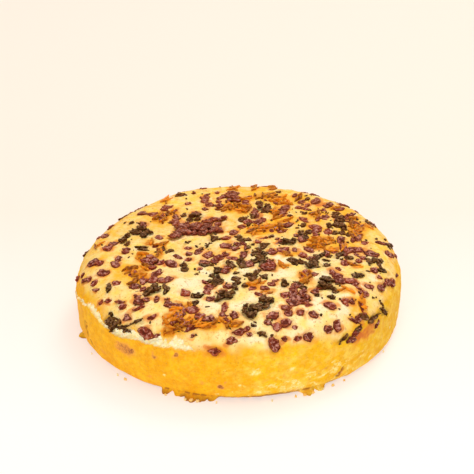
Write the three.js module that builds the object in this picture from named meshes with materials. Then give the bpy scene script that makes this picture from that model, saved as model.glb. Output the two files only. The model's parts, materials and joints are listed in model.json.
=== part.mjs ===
// A round tea cake, baked in a 7 inch tin and turned out whole. It is one solid of
// baked crumb with a flat base, a smooth upright side, a rounded top edge and a low dome.
// Millimetres, +Z up; the origin is the middle of the base, on the surface it stands on.
// -Y is the front, where the top crust has torn away from the edge.
import * as THREE from "three";

// The tin gives the side its radius; the base corner is the small round at its foot.
const TIN_RADIUS = 90;
const BASE_CORNER = 2;

// The top: where the rounded edge meets the dome, the edge's radius and the dome's rise.
const EDGE_HEIGHT = 40;
const EDGE_RADIUS = 19.4;
const DOME_RISE = 2.7;
const EDGE_START = EDGE_HEIGHT - EDGE_RADIUS;
const DOME_RADIUS = TIN_RADIUS - EDGE_RADIUS;

// How finely the solid is faceted.
const SIDES = 132;
const SIDE_RINGS = 6;
const EDGE_STEPS = 14;
const DOME_RINGS = 6;

// The torn edge: the arc it runs over, in degrees from +X, and the heights of its standing
// crust and of the bare crumb behind it, in degrees up the rounded edge.
const TEAR = { from: -158, to: -104, fade: 5 };
const TEAR_CRUST = { at: 19, width: 8, standsOut: 0.9 };
const TEAR_CRUMB = { at: 31, width: 11, sinks: 1.7 };
const TEAR_FLAKE = { at: -156, width: 4, standsOut: 0.8 };

// Crumbs that spread at the foot and stayed baked on: place and half width in degrees,
// and how far they reach out from the side.
const FOOT_HEIGHT = 3.2;
const FEET = [
  { at: -161, half: 3, reach: 1.4 },
  { at: -113, half: 5, reach: 1.3 },
  { at: -106, half: 6, reach: 3.4 },
  { at: -68, half: 4, reach: 1.4 },
];

// The baked outline is a little out of round: each entry is a wave round the cake, by how
// many times it repeats and its share of the radius along cosine and sine.
const OUT_OF_ROUND = [
  { repeats: 2, cosine: -0.002, sine: 0.015 },
  { repeats: 3, cosine: 0, sine: -0.003 },
  { repeats: 4, cosine: 0.004, sine: 0.004 },
  { repeats: 5, cosine: -0.003, sine: 0.002 },
];

const degrees = THREE.MathUtils.radToDeg;
const radians = THREE.MathUtils.degToRad;
const { smoothstep, lerp } = THREE.MathUtils;

// A smooth hill, 1 at its middle and 0 one width away on either side.
const hill = (value, middle, width) => 1 - smoothstep(Math.abs(value - middle), 0, width);

const outline = (turn) =>
  OUT_OF_ROUND.reduce(
    (sum, { repeats, cosine, sine }) =>
      sum + cosine * Math.cos(repeats * turn) + sine * Math.sin(repeats * turn),
    1,
  );

// Soft bulges and hollows of the side, and the slow swell of the top.
const sideSwell = (turn, height) =>
  0.22 * Math.sin(7 * turn + height / 9) + 0.16 * Math.sin(11 * turn - height / 6 + 1.3);
const topSwell = (x, y) =>
  0.35 * Math.sin(x / 17 + 0.6) * Math.cos(y / 21) + 0.3 * Math.sin((x + 1.6 * y) / 13 + 2);

// 1 along the torn stretch of the edge and 0 elsewhere, with a ragged strength between.
function tearAt(angle) {
  const open = smoothstep(angle, TEAR.from - TEAR.fade, TEAR.from);
  const shut = smoothstep(angle, TEAR.to - TEAR.fade, TEAR.to + TEAR.fade);
  const ragged = 0.82 + 0.18 * Math.sin(radians(angle) * 31) * Math.cos(radians(angle) * 17);
  return open * (1 - shut) * ragged;
}

// How far the rounded edge stands out of its true round, at an angle round the cake and
// a rise of 0 to 90 degrees up the edge.
function edgeStandsOut(angle, rise) {
  const atCrust = hill(rise, TEAR_CRUST.at, TEAR_CRUST.width);
  const atCrumb = hill(rise, TEAR_CRUMB.at, TEAR_CRUMB.width);
  const atFlake = hill(angle, TEAR_FLAKE.at, TEAR_FLAKE.width) * atCrust;
  const torn = TEAR_CRUST.standsOut * atCrust - TEAR_CRUMB.sinks * atCrumb;
  return tearAt(angle) * torn + TEAR_FLAKE.standsOut * atFlake;
}

// How far the foot reaches out at an angle round the cake and a height above the base.
function footReach(angle, height) {
  const low = 1 - smoothstep(height, 0.8, FOOT_HEIGHT);
  const reach = (foot) => {
    const ragged = 0.75 + 0.25 * Math.cos((angle - foot.at) * 1.9);
    return foot.reach * ragged * hill(angle, foot.at, foot.half);
  };
  return low * Math.max(...FEET.map(reach));
}

// The outline from the middle of the base to the middle of the top, as radius and height.
function profile() {
  const points = [];
  const add = (radius, height) => points.push(new THREE.Vector2(radius, height));
  for (const part of [0, 0.4, 0.75, 0.93]) {
    add(part * (TIN_RADIUS - BASE_CORNER), 0);
  }
  for (const turn of [0, 30, 60, 90].map(radians)) {
    add(TIN_RADIUS - BASE_CORNER * (1 - Math.sin(turn)), BASE_CORNER * (1 - Math.cos(turn)));
  }
  for (let ring = 1; ring <= SIDE_RINGS; ring++) {
    add(TIN_RADIUS, lerp(BASE_CORNER, EDGE_START, ring / SIDE_RINGS));
  }
  for (let step = 1; step <= EDGE_STEPS; step++) {
    const rise = radians((90 * step) / EDGE_STEPS);
    add(DOME_RADIUS + EDGE_RADIUS * Math.cos(rise), EDGE_START + EDGE_RADIUS * Math.sin(rise));
  }
  for (let ring = 1; ring <= DOME_RINGS; ring++) {
    const part = 1 - ring / DOME_RINGS;
    add(DOME_RADIUS * part, EDGE_HEIGHT + DOME_RISE * (1 - part * part));
  }
  return points;
}

// Turns the profile round +Z, then moves each point of the true round body to where the
// baked and torn one has it. The base stays flat, and both poles stay single points.
function cakeGeometry() {
  const geometry = new THREE.LatheGeometry(profile(), SIDES);
  geometry.rotateX(Math.PI / 2);
  const place = geometry.getAttribute("position");
  for (let i = 0; i < place.count; i++) {
    const x = place.getX(i);
    const y = place.getY(i);
    const z = place.getZ(i);
    const turn = Math.atan2(y, x);
    const angle = degrees(turn);
    const trueRadius = Math.hypot(x, y);
    const onTop = smoothstep(z, EDGE_START, EDGE_HEIGHT);
    const onSide = smoothstep(z, 0, BASE_CORNER) * (1 - onTop);
    let radius = trueRadius * outline(turn) + onSide * sideSwell(turn, z);
    let height = z + onTop * topSwell(x, y);
    if (trueRadius > 0.9 * TIN_RADIUS) {
      radius += footReach(angle, z);
    }
    if (z > EDGE_START) {
      const rise = Math.min(Math.atan2(z - EDGE_START, trueRadius - DOME_RADIUS), Math.PI / 2);
      const out = edgeStandsOut(angle, degrees(rise));
      radius += out * Math.cos(rise);
      height += out * Math.sin(rise);
    }
    place.setXYZ(i, radius * Math.cos(turn), radius * Math.sin(turn), height);
  }
  return geometry;
}

// Golden, matt baked crust.
const crust = new THREE.MeshStandardMaterial({ color: 0xf2b53a, roughness: 0.75, metalness: 0 });

const cake = new THREE.Mesh(cakeGeometry(), crust);
cake.name = "cake";

const group = new THREE.Group();
group.add(cake);

export default group;
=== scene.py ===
import json
import math

import bmesh
import bpy
import numpy as np
from mathutils import Matrix, Vector, noise

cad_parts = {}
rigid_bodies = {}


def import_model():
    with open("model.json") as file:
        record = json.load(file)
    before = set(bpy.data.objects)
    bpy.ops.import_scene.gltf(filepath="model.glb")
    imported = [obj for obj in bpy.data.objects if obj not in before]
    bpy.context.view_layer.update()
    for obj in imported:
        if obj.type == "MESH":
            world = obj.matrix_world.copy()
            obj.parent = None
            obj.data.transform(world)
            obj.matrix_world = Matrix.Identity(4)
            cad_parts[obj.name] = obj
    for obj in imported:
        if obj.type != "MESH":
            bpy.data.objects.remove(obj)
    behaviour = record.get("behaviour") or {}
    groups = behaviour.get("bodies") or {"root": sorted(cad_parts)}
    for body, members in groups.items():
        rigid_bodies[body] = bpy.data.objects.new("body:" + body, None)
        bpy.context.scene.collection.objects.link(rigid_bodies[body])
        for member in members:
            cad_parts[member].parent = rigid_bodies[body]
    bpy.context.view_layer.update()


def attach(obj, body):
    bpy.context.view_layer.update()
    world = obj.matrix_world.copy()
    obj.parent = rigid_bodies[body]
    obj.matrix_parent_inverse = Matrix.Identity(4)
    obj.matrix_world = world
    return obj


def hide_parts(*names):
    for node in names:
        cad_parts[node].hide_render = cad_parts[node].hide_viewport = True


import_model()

# ------------------------------------------------------------------------------ the cake
# A whole sponge baked in a plain round tin and turned out: flat base, upright golden side,
# rounded top edge and a low pale dome. It is one piece of baked crumb. At the front left
# the top skin has torn off the edge and bares the crumb, and batter has spread at the foot.

MM = 0.001
TIN_RADIUS = 90 * MM
EDGE_HEIGHT = 40 * MM
EDGE_RADIUS = 19.4 * MM
DOME_RISE = 2.7 * MM
BASE_CORNER = 4.2 * MM
EDGE_START = EDGE_HEIGHT - EDGE_RADIUS
DOME_RADIUS = TIN_RADIUS - EDGE_RADIUS

# How far the baked outline is out of round: repeats round the cake, share on cosine, on sine.
OUT_OF_ROUND = ((2, -0.002, 0.015), (3, 0, -0.003), (4, 0.004, 0.004), (5, -0.003, 0.002))

# The torn edge. Angles are in degrees from +X, with the front at -90. The standing crust
# ends at TEAR_START degrees up the rounded edge; the bare crumb behind it is TEAR_WIDTH mm wide
# and TEAR_DEPTH mm deep, all at these angles.
TEAR_ANGLES = (-173, -168, -162, -156, -151, -147, -143.5, -141, -138, -134.5, -130, -126, -122,
               -118, -113, -108, -104)
TEAR_START = (4, 6, 11.5, 17.5, 21.5, 18, 16, 15.6, 16, 12, 17, 20.5, 22, 21.5, 26, 26, 27)
TEAR_WIDTH = (0.0, 1.0, 1.3, 1.7, 2.3, 2.9, 1.2, 0.9, 2.6, 5.0, 4.4, 2.8, 2.8, 4.6, 3.6, 2.2, 0.0)
TEAR_DEPTH = (0.0, 0.4, 0.5, 0.6, 0.8, 0.8, 0.5, 0.5, 0.7, 0.9, 0.9, 0.7, 0.7, 0.9, 0.7, 0.5, 0.0)

# Batter that spread at the foot: angle, half width in degrees, reach in mm.
FEET = ((-163, 3.5, 2.2), (-116, 2.6, 2.6), (-111, 4, 1.6), (-106.5, 4.5, 4.6), (-103, 3, 3.0),
        (-100, 3, 1.6), (-67, 4, 2.8), (-62.5, 3, 1.4), (36, 5, 1.5), (121, 6, 2.0))
FOOT_HEIGHT = 1.7 * MM

# Chopped dried red berries baked into the top. Each heap is its middle, length and width in mm
# and its turn in degrees; long heaps are split into several bits.
RED_HEAPS = (
    # front left
    (-86, -18, 12, 4, -65), (-78, -13, 9, 5, -45), (-66, -13, 6, 4, 70), (-67, -19, 6, 4.5, -40),
    (-62, -4, 8, 3.5, 65), (-73, -1, 6, 4, -60), (-73, -25, 7, 5.5, -30), (-79, -28, 8.5, 4, -42),
    (-76, -36, 4.5, 1.5, -20), (-65, -37, 4, 3, -20), (-73, -46, 3.5, 2.5, 20), (-69, -48, 4, 2, -15),
    (-62, -52.5, 6, 2.5, -25), (-60.5, -56, 3.5, 3, 0), (-53, -52.5, 8.5, 5.5, 80),
    (-52, -60, 7.5, 2.2, 10), (-58, -62.5, 6.5, 3.5, -25), (-45, -67.5, 5.5, 3.2, 20),
    (-47.6, -73.6, 7.4, 4.8, -44), (-50.4, -71.6, 3, 2.2, -20), (-42, -76.4, 4, 1.5, -9),
    (-35.5, -58.5, 8.5, 6, -25), (-28.5, -50, 6, 4.5, -60), (-21.5, -27, 3, 2.5, 30),
    (-22.5, -8, 5.5, 3.5, 50), (-28.5, -13, 9, 4, 80), (-33.5, -13, 6, 3, -45), (-36.5, -21, 7, 5, -60),
    (-17, -12, 6, 5, 60), (-14, -18, 9, 5, 70), (-19, -19, 6, 5, 20), (-28, -4, 4, 3, 0),
    (-46.5, -21, 11, 3, 85), (-42.5, -19, 5, 3, 60), (-50, -13, 8, 6, 70), (-57, -29, 5, 4, 60),
    (-50.5, -37, 6, 4, 80), (-46, -36, 6, 6, 20), (-41.5, -37, 5, 4, 70), (-38, -36.5, 6, 5, 40),
    (-44, -30, 7, 4, 50), (-52, -42, 8, 5, -40), (-48.5, -54, 5, 4, 30), (-43, -54, 6, 2.5, 85),
    (-15, -48, 8, 5, 75), (-8, -46.5, 8, 4.5, 85), (-18, -41, 4, 2.5, -50), (-15.5, -56, 4, 3, 20),
    (-24, -65, 6, 5, 20), (-20.5, -71, 5, 5, 0), (-16, -72.5, 6, 5, 40), (-8, -63, 7, 3, 85),
    (-6, -69, 9, 6, 15), (-7, -74, 4, 3, 70), (-0.7, -80.5, 6.5, 3.5, 15), (-4.8, -84.3, 4.6, 3, 25),
    (-5, -84, 3.3, 2.5, 0), (-13.4, -87.2, 7.3, 4.4, -7), (-7.5, -27, 10, 5, 80), (-7.3, -3, 7, 6, 30),
    (-2, -5, 9, 5, 85), (-7.7, -13, 4, 3, 0), (-4, -17, 6, 3, -20), (-31, -71, 8, 4, 60),
    (-27, -75, 6, 3, -30),
    # front right
    (2, -14.5, 7, 4, 70), (4, -23, 6, 5, 20), (18.5, -10.5, 8, 4.5, 80), (24, -8.3, 7, 5, 30),
    (30, -7.5, 6, 3.5, -70), (38, -7, 6, 4, -60), (34, -13.5, 6, 4.5, -60), (38.7, -16.7, 5, 3.5, 0),
    (47.5, -9, 9, 3.5, 85), (52, -7, 5, 3, 60), (56.7, 0, 6, 3, 80), (60, -5.5, 6, 5, 45),
    (65, -3.7, 8, 5, -35), (72, -8, 7, 5, -15), (82, -3, 5, 4, 45), (66.5, -14.5, 8, 3.5, 60),
    (64, -10, 5, 2.5, -40), (56.7, -19, 6, 4.5, 70), (61.7, -20.3, 4, 3.5, 0), (49, -30.5, 7, 4.5, -60),
    (52.7, -26, 5, 3, -50), (53.5, -37, 10, 5, -55), (59, -39, 9, 4.5, -75), (65, -46, 5.5, 4.5, 40),
    (67.7, -40, 6, 3.5, 15), (74.7, -35.7, 7, 4, 50), (79, -30, 11, 3.5, 58), (82, -24.5, 6, 3, 60),
    (74.3, -28.7, 3.5, 2, 20), (85.3, -16, 4, 2, 60), (55.3, -54.3, 8, 4, 30), (46, -60, 6.5, 5.5, -30),
    (36.7, -67.7, 4, 4, 60), (30.7, -67.3, 5, 4.5, 30), (23.3, -66, 8.5, 4.5, 85),
    (16, -70.5, 7.5, 6, 20), (13.7, -75, 4, 3, -30), (22.7, -74.7, 7, 4.5, 15), (18, -77.3, 4.5, 4, 0),
    (27, -76.3, 3.5, 2, -15), (3, -79, 4, 3, 40), (4.3, -81.7, 2.5, 2, 0), (16.6, -84.4, 7.5, 5.6, -89),
    (22, -81.7, 3.2, 2.3, 10), (28.5, -80.2, 4.2, 2.6, 37), (34, -78.4, 6.2, 5.6, 17),
    (44, -72.6, 3.9, 3.1, 0), (49, -69.2, 5.7, 4, -82), (29, -45, 8, 6, 75), (31, -53, 10, 9, 20),
    (29, -59, 8, 5, 0), (22.7, -51.5, 7, 4.5, 70), (26, -57, 5, 4, 40), (34.7, -60.7, 4, 3, 30),
    (14, -44, 8, 5, 70), (10.7, -52.5, 7, 3, -30), (15, -26.5, 9, 6.5, 10), (16, -20.5, 4, 4, 0),
    (38.7, -48.5, 4, 4, 0), (41.5, -45, 6, 4, 40), (57, -67.9, 6.9, 3.4, 13),
    (58.5, -62.7, 7.6, 1.9, -5), (61, -60.2, 6.2, 3.6, 44), (71.5, -52.4, 4.6, 1.3, 87),
    (72, -24, 5, 4, 60), (6.5, -46, 5, 3, 20), (10, 0.5, 4, 3.5, 70), (3, -4, 8, 2, -70),
    (21, 4, 3, 1.5, 60), (22.5, 1.5, 4, 1.7, 60), (22, -0.8, 4, 1.4, 20), (13.5, 4.8, 6, 1.8, 20),
    (35.5, 5, 7, 4, 75), (1.5, -14, 9, 2.4, 85), (-8.5, -12, 7, 2, 85), (34.5, -32.5, 7, 5, 70),
    (39, -33, 5, 3, 0), (57, -7, 8, 3.5, 85), (85.5, 1.5, 8, 1.6, 72), (80.5, 7.5, 7, 2.2, 35),
    (66, 8, 7, 3, 75), (63, 6, 6, 2.5, 85),
    # back left
    (-44, 33, 8, 2.4, 85), (-37, 43, 4, 2, 70), (-36.5, 32.5, 8, 2.6, 80), (-10.5, 27, 11, 3.2, 80),
    (-13, 66, 4, 2.5, 70), (-19, 62, 3, 2, 60), (-27, 66, 4, 2, 80), (-22, 74, 5, 3, 0),
    (-9, 60, 6, 3, 70), (-56, 41, 5, 5, 0), (-50, 38.5, 7, 5, -20), (-44, 48, 8, 6, 70),
    (-54.5, 26, 7, 4.5, -60), (-36, 26, 7, 6, -40), (-27, 18, 14, 9, 80), (-22, 13, 10, 8, 70),
    (-30, 14, 7, 5, 20), (-18, 22, 7, 5, 60), (-24, 23, 6, 5, 10), (-32, 21, 7, 5, 70),
    (-35.5, 13, 15, 4, 85), (-13.5, 15, 10, 8, 80), (-17, 28, 10, 6, 60), (-26, 37, 8, 4, 50),
    (-20.5, 56.5, 9, 4.5, -60), (-18, 46, 9, 5, 80), (-12, 55, 8, 4, 80), (-12.5, 46, 8, 4, 80),
    (-5, 66, 8, 6, 60), (-4, 55, 10, 8, 80), (-3, 12, 6, 4, 70), (-7.5, 5, 5, 3.5, 20),
    (-45, 9.5, 5, 3, -50), (-70, 5.5, 7, 4, 40), (-73, 1, 5, 4, 0), (-30, 51.5, 4, 3, 30),
    (-59, 55, 6, 4, 30), (-47, 70, 4.5, 3, 60), (-33, 76, 6.5, 3.5, 10), (-12, 84, 4, 3, 30),
    (-76, 18, 6, 4, -60), (-74, 30, 5, 3, 80), (-80, 21, 3.5, 2.5, 70), (-64, 50, 3, 2, 10),
    # back right
    (5.5, 59.5, 6, 3, 50), (-2, 43.5, 4, 3, 30), (4.5, 47, 6, 2.4, 75), (9.5, 33, 7, 3.2, 85),
    (15.5, 18.5, 3.5, 2.4, 30), (22, 15, 4, 2, 60), (24, 13, 4, 2, 30), (18, 14, 3, 2, 80),
    (10, 21, 3, 2, 50), (14.5, 57, 8, 2, 110), (64.5, 37.5, 7, 2.8, 50), (67.5, 19, 9, 2.4, 85),
    (64.5, 13, 7, 3, 80), (70, 24, 5, 2, 60), (56, 30, 5, 2.5, 70), (21.3, 53, 8, 1.8, 85),
    (43, 38, 6, 2.4, 70), (46, 31, 5, 2, 60), (40, 49, 5, 3, 70), (49, 43, 4, 3, 20),
    (9, 39, 7, 4.5, 80), (12, 27, 8, 4.5, 70), (26, 44, 8, 5, 70), (25.7, 35, 9, 4, 80),
    (35.3, 45.3, 6, 4, 10), (39, 43.5, 4, 4, 0), (37, 53.5, 5, 3, 50), (46, 55, 7, 7, 45),
    (52.5, 49.5, 7, 4.5, 70), (58.7, 45, 6, 5, 30), (37.3, 27.5, 6, 3.5, -60), (44, 17.5, 9, 6, 75),
    (50, 15, 7, 5, 80), (49, 33, 10, 3.5, 85), (63, 35, 7, 4, 50), (65, 28.5, 7, 3.5, -20),
    (55, 5, 8, 4.5, 80), (69.3, 3, 4, 4, 0), (77, 5.5, 3, 2, 40), (1.5, 19.5, 5, 4, 20),
    (27.5, 21, 6, 4, 50), (33.5, 63, 5, 2.5, 60), (4.5, 25, 4, 4, 0), (2, 50, 8, 4, 80),
    (17, 80.5, 6, 4.5, -20), (22, 84, 3, 2.2, 40), (41, 71, 5, 3.5, 60), (52, 69, 3.6, 3, -50),
    (69, 47, 6, 3, -70), (77, 33, 4.5, 3.5, 20), (46, 66, 6, 3, 20), (61, 52, 4, 3, -30),
    # more at the front right edge
    (59.5, -64.9, 6.6, 2.6, 52), (55.4, -69.2, 4, 2.4, 30), (62.5, -54.5, 5, 2, -60),
    (61.5, -43.5, 5, 2, -50), (63.5, -57.2, 4, 2, 30),
    # more among the peel, and in the gaps
    (27.3, 41.5, 7.5, 2.8, 80), (44.8, 29, 6, 2, 80), (42.5, 10.5, 6, 3, 85), (21.5, 18, 5, 2.5, 70),
    (26, 15, 3.5, 1.6, 60), (-35.5, -59.5, 7, 4.5, 5), (-29.5, -64, 7.4, 2.2, -75),
    (-31.5, -70.5, 7.4, 2, -45), (-28, -74.5, 7.4, 2.4, -35), (-24.5, -77.5, 6, 2.2, 10),
    (-19, -76, 5, 2.5, 30), (-14.5, -73, 6, 3, -70), (-24, -81, 3, 1.5, 20), (-46.5, 0.5, 4, 3, 60),
    (-43, -4, 3.4, 3, 0), (56.8, -2.5, 7, 2.4, 80), (31.8, 8.8, 3, 2.5, 60), (18.5, -38.6, 4, 2, 15),
    (62.8, -48, 5, 2, -70),
)

# Chopped raisins and currants, nearly black, in the same terms.
DARK_HEAPS = (
    # front left
    (-54.3, -3, 7, 5.5, 20), (-42.7, -3.5, 3.5, 3, 0), (-38.5, -6, 4, 2.5, 30),
    (-29.5, -25, 10, 4, -80), (-23, -32.7, 2, 1.5, 0), (-69, -38.7, 7, 2.5, 85),
    (-45.5, -45.7, 8, 6, 30), (-38.7, -44.7, 7.5, 5, 60), (-66.4, -58.9, 7.4, 4.4, -26),
    (-65.2, -60.3, 7.4, 4, -40), (-67.8, -57.6, 5.2, 3.8, 11), (-64, -61, 5.5, 3.4, -60),
    (-66.3, -56.8, 4.2, 2, -80), (-62.5, -61.4, 4.6, 2, -59), (-65.8, -61.2, 7, 3, -32),
    (-69.2, -56.6, 3.6, 2.2, 20), (-67, -59.8, 5, 3.2, 60), (-61.3, -64.4, 5, 2, -44),
    (-58, -67.3, 7.6, 1.7, -44), (-58.6, -65.6, 6, 0.9, -4), (-52.8, -67, 7.5, 0.7, 2),
    (-22, -53.5, 6, 3, 0), (-12.5, -29, 6, 4, 70), (-12, -36, 7, 4.5, 80), (-15, -34, 3, 3, 0),
    (-11.5, -41, 5, 4.5, 60), (-2, -23.5, 9, 6, 10), (-2, -37, 5, 4, 40), (-1, -44, 8, 5, 30),
    (-8, -53.5, 9, 5, 10), (-22.7, -58.5, 3, 3, 0), (-18, -3, 4, 2, 75), (-17, -23, 8, 2, 5),
    (-16, -40, 3, 2.5, 60),
    # front right
    (5, -6, 4, 2, 70), (7, -3, 3, 2, 0), (11, -12, 7, 5, 75), (11.5, -17, 5, 4, 20), (27, 0.5, 8, 6, 0),
    (42, -14.5, 7, 4, 60), (28.5, -20, 6, 4.5, -30), (33, -21.5, 6, 3.5, -20), (38.5, -24, 8, 6, 45),
    (46.7, -21, 8, 3.5, -75), (8, -20.5, 4, 3.5, 0), (6.7, -36, 7, 4, 80), (23.5, -41.5, 6, 4, 70),
    (30, -41, 5, 3, -40), (45, -41, 10, 6, 50), (39.5, -51.5, 3.5, 3, 0), (48, -50.5, 8.5, 4, 80),
    (63.5, -32, 8, 4.5, 75), (74, -14, 8, 3.5, 30), (73, -18.5, 7, 5, 80), (76.5, -21.5, 7, 3, 25),
    (12, -61.3, 9, 6.5, 60), (5, -67, 10, 6.5, 80), (6.3, -77, 3, 2.2, 0), (10.7, -81, 5, 2.5, -20),
    (68.3, -54.9, 7.6, 3.2, 60), (71.2, -51.2, 4.2, 1.8, 60), (63.4, -58, 5.6, 3.4, 20),
    (51.9, -71.4, 7.4, 1.7, 58), (60.3, -63.6, 5.4, 2, 60), (74.5, -44.3, 6, 1, -19),
    (76.2, -44.5, 7.4, 1.9, -3), (74.1, -46.3, 4.8, 1.6, 14), (13, -36, 4, 2, -30),
    (7.5, -12.5, 6, 2.5, 75), (13, -14, 6, 3.4, 80), (11.5, -23, 6, 2.8, 75), (4, -33, 5, 2.6, 40),
    (8.5, -31.5, 6, 2.4, 70), (-2, -31.5, 4, 1.5, 10), (12.5, -34.5, 4, 2, -30), (59.5, -13, 6, 4.3, 0),
    (53.5, -11.5, 7, 2.8, 75), (45, -11.5, 5, 2, 70), (48.5, -13.5, 3, 1.5, 30), (52, 3, 4, 2, 60),
    (53.5, 12.5, 4, 3, 30), (84, 9, 9, 1.8, 65), (61, 12, 5, 2, 80),
    # back left
    (-41, 38.5, 4, 2.6, 60), (-15, 47, 3, 2.5, 0), (-32, 36, 5, 2.6, 70), (-55.5, 16, 9, 7, -40),
    (-63, 11, 11, 3.5, 75), (-58, 19, 5, 3, 20), (-25.5, 32, 9, 6, 70), (-14.5, 4.5, 6, 4.5, 70),
    (-0.5, 5, 9, 2.6, -62), (-35, 63.5, 6, 3, 10), (-36, 71, 4, 3, 60), (-25, 80, 5, 2.4, -30),
    (-68, 43, 6, 2.5, 60), (-29, 2.5, 2, 1.5, 0), (-21.5, 77, 4, 3, 70), (-62, 29, 3, 2, 0),
    (-86, 8, 5, 2, 80),
    # back right
    (5.5, 22.5, 5, 2, 85), (36.5, 21, 5, 2.6, 70), (41, 58, 5, 2.2, 60), (28.5, 33, 3, 2, 40),
    (73, 33, 6, 2, 70), (12, 50, 6, 5, 80), (15, 44, 9, 7, 80), (17, 38, 7, 5, 60), (55, 36, 8, 4, 85),
    (58, 33, 6, 4, 60), (57, 25, 11, 5.5, 85), (58.5, 16, 8, 3, 85), (34.5, 13, 4, 3, 20),
    (36.5, 6, 6, 3.5, 70), (18, 7.3, 3, 2.5, 0), (13, -5, 7, 4, 65), (4.5, 3, 4, 3, 60),
    (38, 36.7, 4, 3, 30), (1.5, 28, 5, 4, 70), (75, 30, 4, 3.5, 30), (24, 68, 3, 3, 0),
    (51, 22, 6, 3, 80), (33, 76, 6, 2.2, 50), (60, 58, 5, 3, -20), (85, 12, 6, 2.2, 80),
    (84, 34, 5, 2, 70), (8, 32, 5, 3, 80),
    # more in the gaps
    (12.2, -21.5, 5, 3, 60), (29.5, -23.5, 3, 2, 0), (35, 10, 6, 4.5, 60), (23, -38.8, 4, 2, -60),
    (-62, 4, 5, 2, 75), (-21, -5, 3, 1.4, -60), (16.5, 40, 7, 3, 80), (39, 13, 5, 3, 60),
    (55.5, -9.5, 5, 3, 70), (32.5, -44.5, 5, 3, -20), (0.5, -19, 4, 2.5, 30),
)

# Where shreds of candied orange peel lie, in the same terms; their syrup stains the crust.
PEEL_PATCHES = (
    (-54, -12, 9, 4, 85), (-58, -25, 9, 7, 60), (-53, -32, 8, 6, 40), (-56, -37, 5, 4, 30),
    (-44, -8, 8, 3, 85), (-51, -25, 9, 3.5, 80), (-33, -68, 12, 7, 65), (-30, -75, 12, 6, 30),
    (-36, -76, 7, 4, 0), (-15, -77, 7, 3.5, 5), (-5, -76, 9, 4, 5), (-27, -62, 7, 3, 85),
    (26, -12.5, 10, 2.5, 12), (23, -25.5, 5, 3.5, 0), (35, -36, 13, 6.5, 80), (8, -42, 9, 7, 60),
    (44, -2, 12, 8, 60), (55, -46.5, 9, 2, 5), (62.8, -52, 9, 2.4, -84), (15, -49, 5, 3, 40),
    (62.5, -22, 4, 3, 0), (-45, 34, 13, 8, 80), (-38, 41, 9, 4, 70), (-5, 44, 10, 11, 60),
    (-50, 5, 6, 3.5, 80), (-42.5, 1.5, 5, 3.5, 60), (-3, 76, 10, 4, 80), (-44, 60, 10, 3, 85),
    (15, 62, 12, 9, 40), (24, 56, 11, 9, 70), (28, 51, 5, 5, 0), (14, 17, 18, 9, 15),
    (26, 26, 9, 3, 30), (23, 17, 8, 5, 60), (44, 36, 9, 5, 80), (66, 17, 18, 8, 80), (46, 3, 14, 8, 10),
    (20.8, 40, 13, 1.9, 86), (21.3, 29, 16, 1.7, 88), (51, -6, 7, 4, 60), (73, 26, 8, 2.6, 50),
    (67, 34, 6, 4, 40), (35, 60, 7, 4, 60), (57, 45, 6, 5, 0), (10, 78, 12, 3, 88), (20, 76, 12, 3, 88),
    (5, 57, 11, 3, 30), (3, 41, 9, 8, 50), (-79, 6, 5, 4, 60), (9, 14, 9, 6, 70), (56, -3, 6, 4, 80),
    (-21.5, -75.5, 9, 4.5, 10), (-8.5, -73.8, 8, 3, -10),
)

# Wide soft areas where the peel's syrup has run into the top and browned it, and places where
# the skin stayed pale and floury, in the same terms.
SYRUP_POOLS = (
    # front left
    (-60, -28, 20, 14, 150), (-50, -15, 18, 9, 90), (-28, -70, 22, 13, 75), (-35, -77, 9, 5, 0),
    (-12, -76, 24, 6, 5), (-77, -14, 10, 6, 90), (-81, 7, 10, 7, 60), (-76, 19, 9, 6, 60),
    # front right
    (26, -12.5, 9, 3, 10), (46, 2, 18, 13, 0), (62, -54, 12, 7, 55), (57, -62, 5, 3, 40),
    (62, 0, 13, 10, 0),
    # back left
    (-45, 32, 22, 12, 90), (-45, 57, 12, 4, 90), (-20, 60, 10, 4, 30), (-2, 48, 25, 17, 90),
    (0, 75, 14, 9, 90),
    # back right
    (11, 15, 22, 17, 20), (26, 25, 18, 10, 20), (22, 38, 26, 7, 90), (19, 59, 22, 16, 0),
    (7, 67, 15, 9, 90), (15, 76, 14, 8, 90), (44, 36, 22, 15, 80), (43, 20, 20, 15, 60),
    (66, 17, 28, 14, 85), (73, 27, 11, 5, 55), (36, 56, 14, 10, 120), (54, 44, 14, 9, 150),
    (62, 40, 12, 8, 120),
)
PALE_PATCHES = (
    # front left
    (-16, -62, 11, 8, 30), (-28, -41, 14, 8, 0), (-5, -37, 10, 7, 80), (-20, -48, 9, 7, 0),
    (-17, -31, 7, 5, 90), (0, -60, 12, 6, 0),
    # front right
    (44, -32, 13, 6, 85), (24, -33, 14, 7, 0), (22, -19, 8, 5, 0), (39, -61, 15, 7, 85),
    (18, -63, 9, 6, 60), (6, -55, 6, 4, 90), (55, -52, 8, 3, 0), (2, -30, 7, 4, 20), (12, -29, 6, 4, 0),
    (53, -61, 9, 5, 45), (49, -71, 8, 4, 38), (56, -56, 7, 4, 40), (32, -79, 9, 4, 20),
    (8, -84, 10, 4, 8), (38, -70, 8, 5, 30), (66, -40, 7, 4, 60), (72, -30, 6, 4, 60),
    # back
    (-57, 56, 9, 5, 65), (-42, 66, 8, 4, 90), (3, 78, 10, 5, 90), (24, 76, 8, 4, 90),
    (46, 65, 10, 5, 140),
)

# Places where the berries' red juice ran out over the crust, in the same terms.
JUICE_RUNS = (
    (60, -65.3, 9.5, 5.4, 42), (-14, -87, 8, 3, -8), (60, -20, 5, 4, 0), (-33, 21, 9, 5, 60),
    (34, -14, 6, 4, 0), (22, 3, 6, 4, 60), (62.5, -51, 12, 4, -85), (-40, -19, 8, 4, 80),
    (12, 33, 8, 4, 80), (48, 50, 7, 5, 60), (-20, 60, 7, 4, -60),
)

# A paler run over the rounded edge at the right front.
AMBER_RUN = ((66.2, -59.3, 14, 8.6, 47),)


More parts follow.
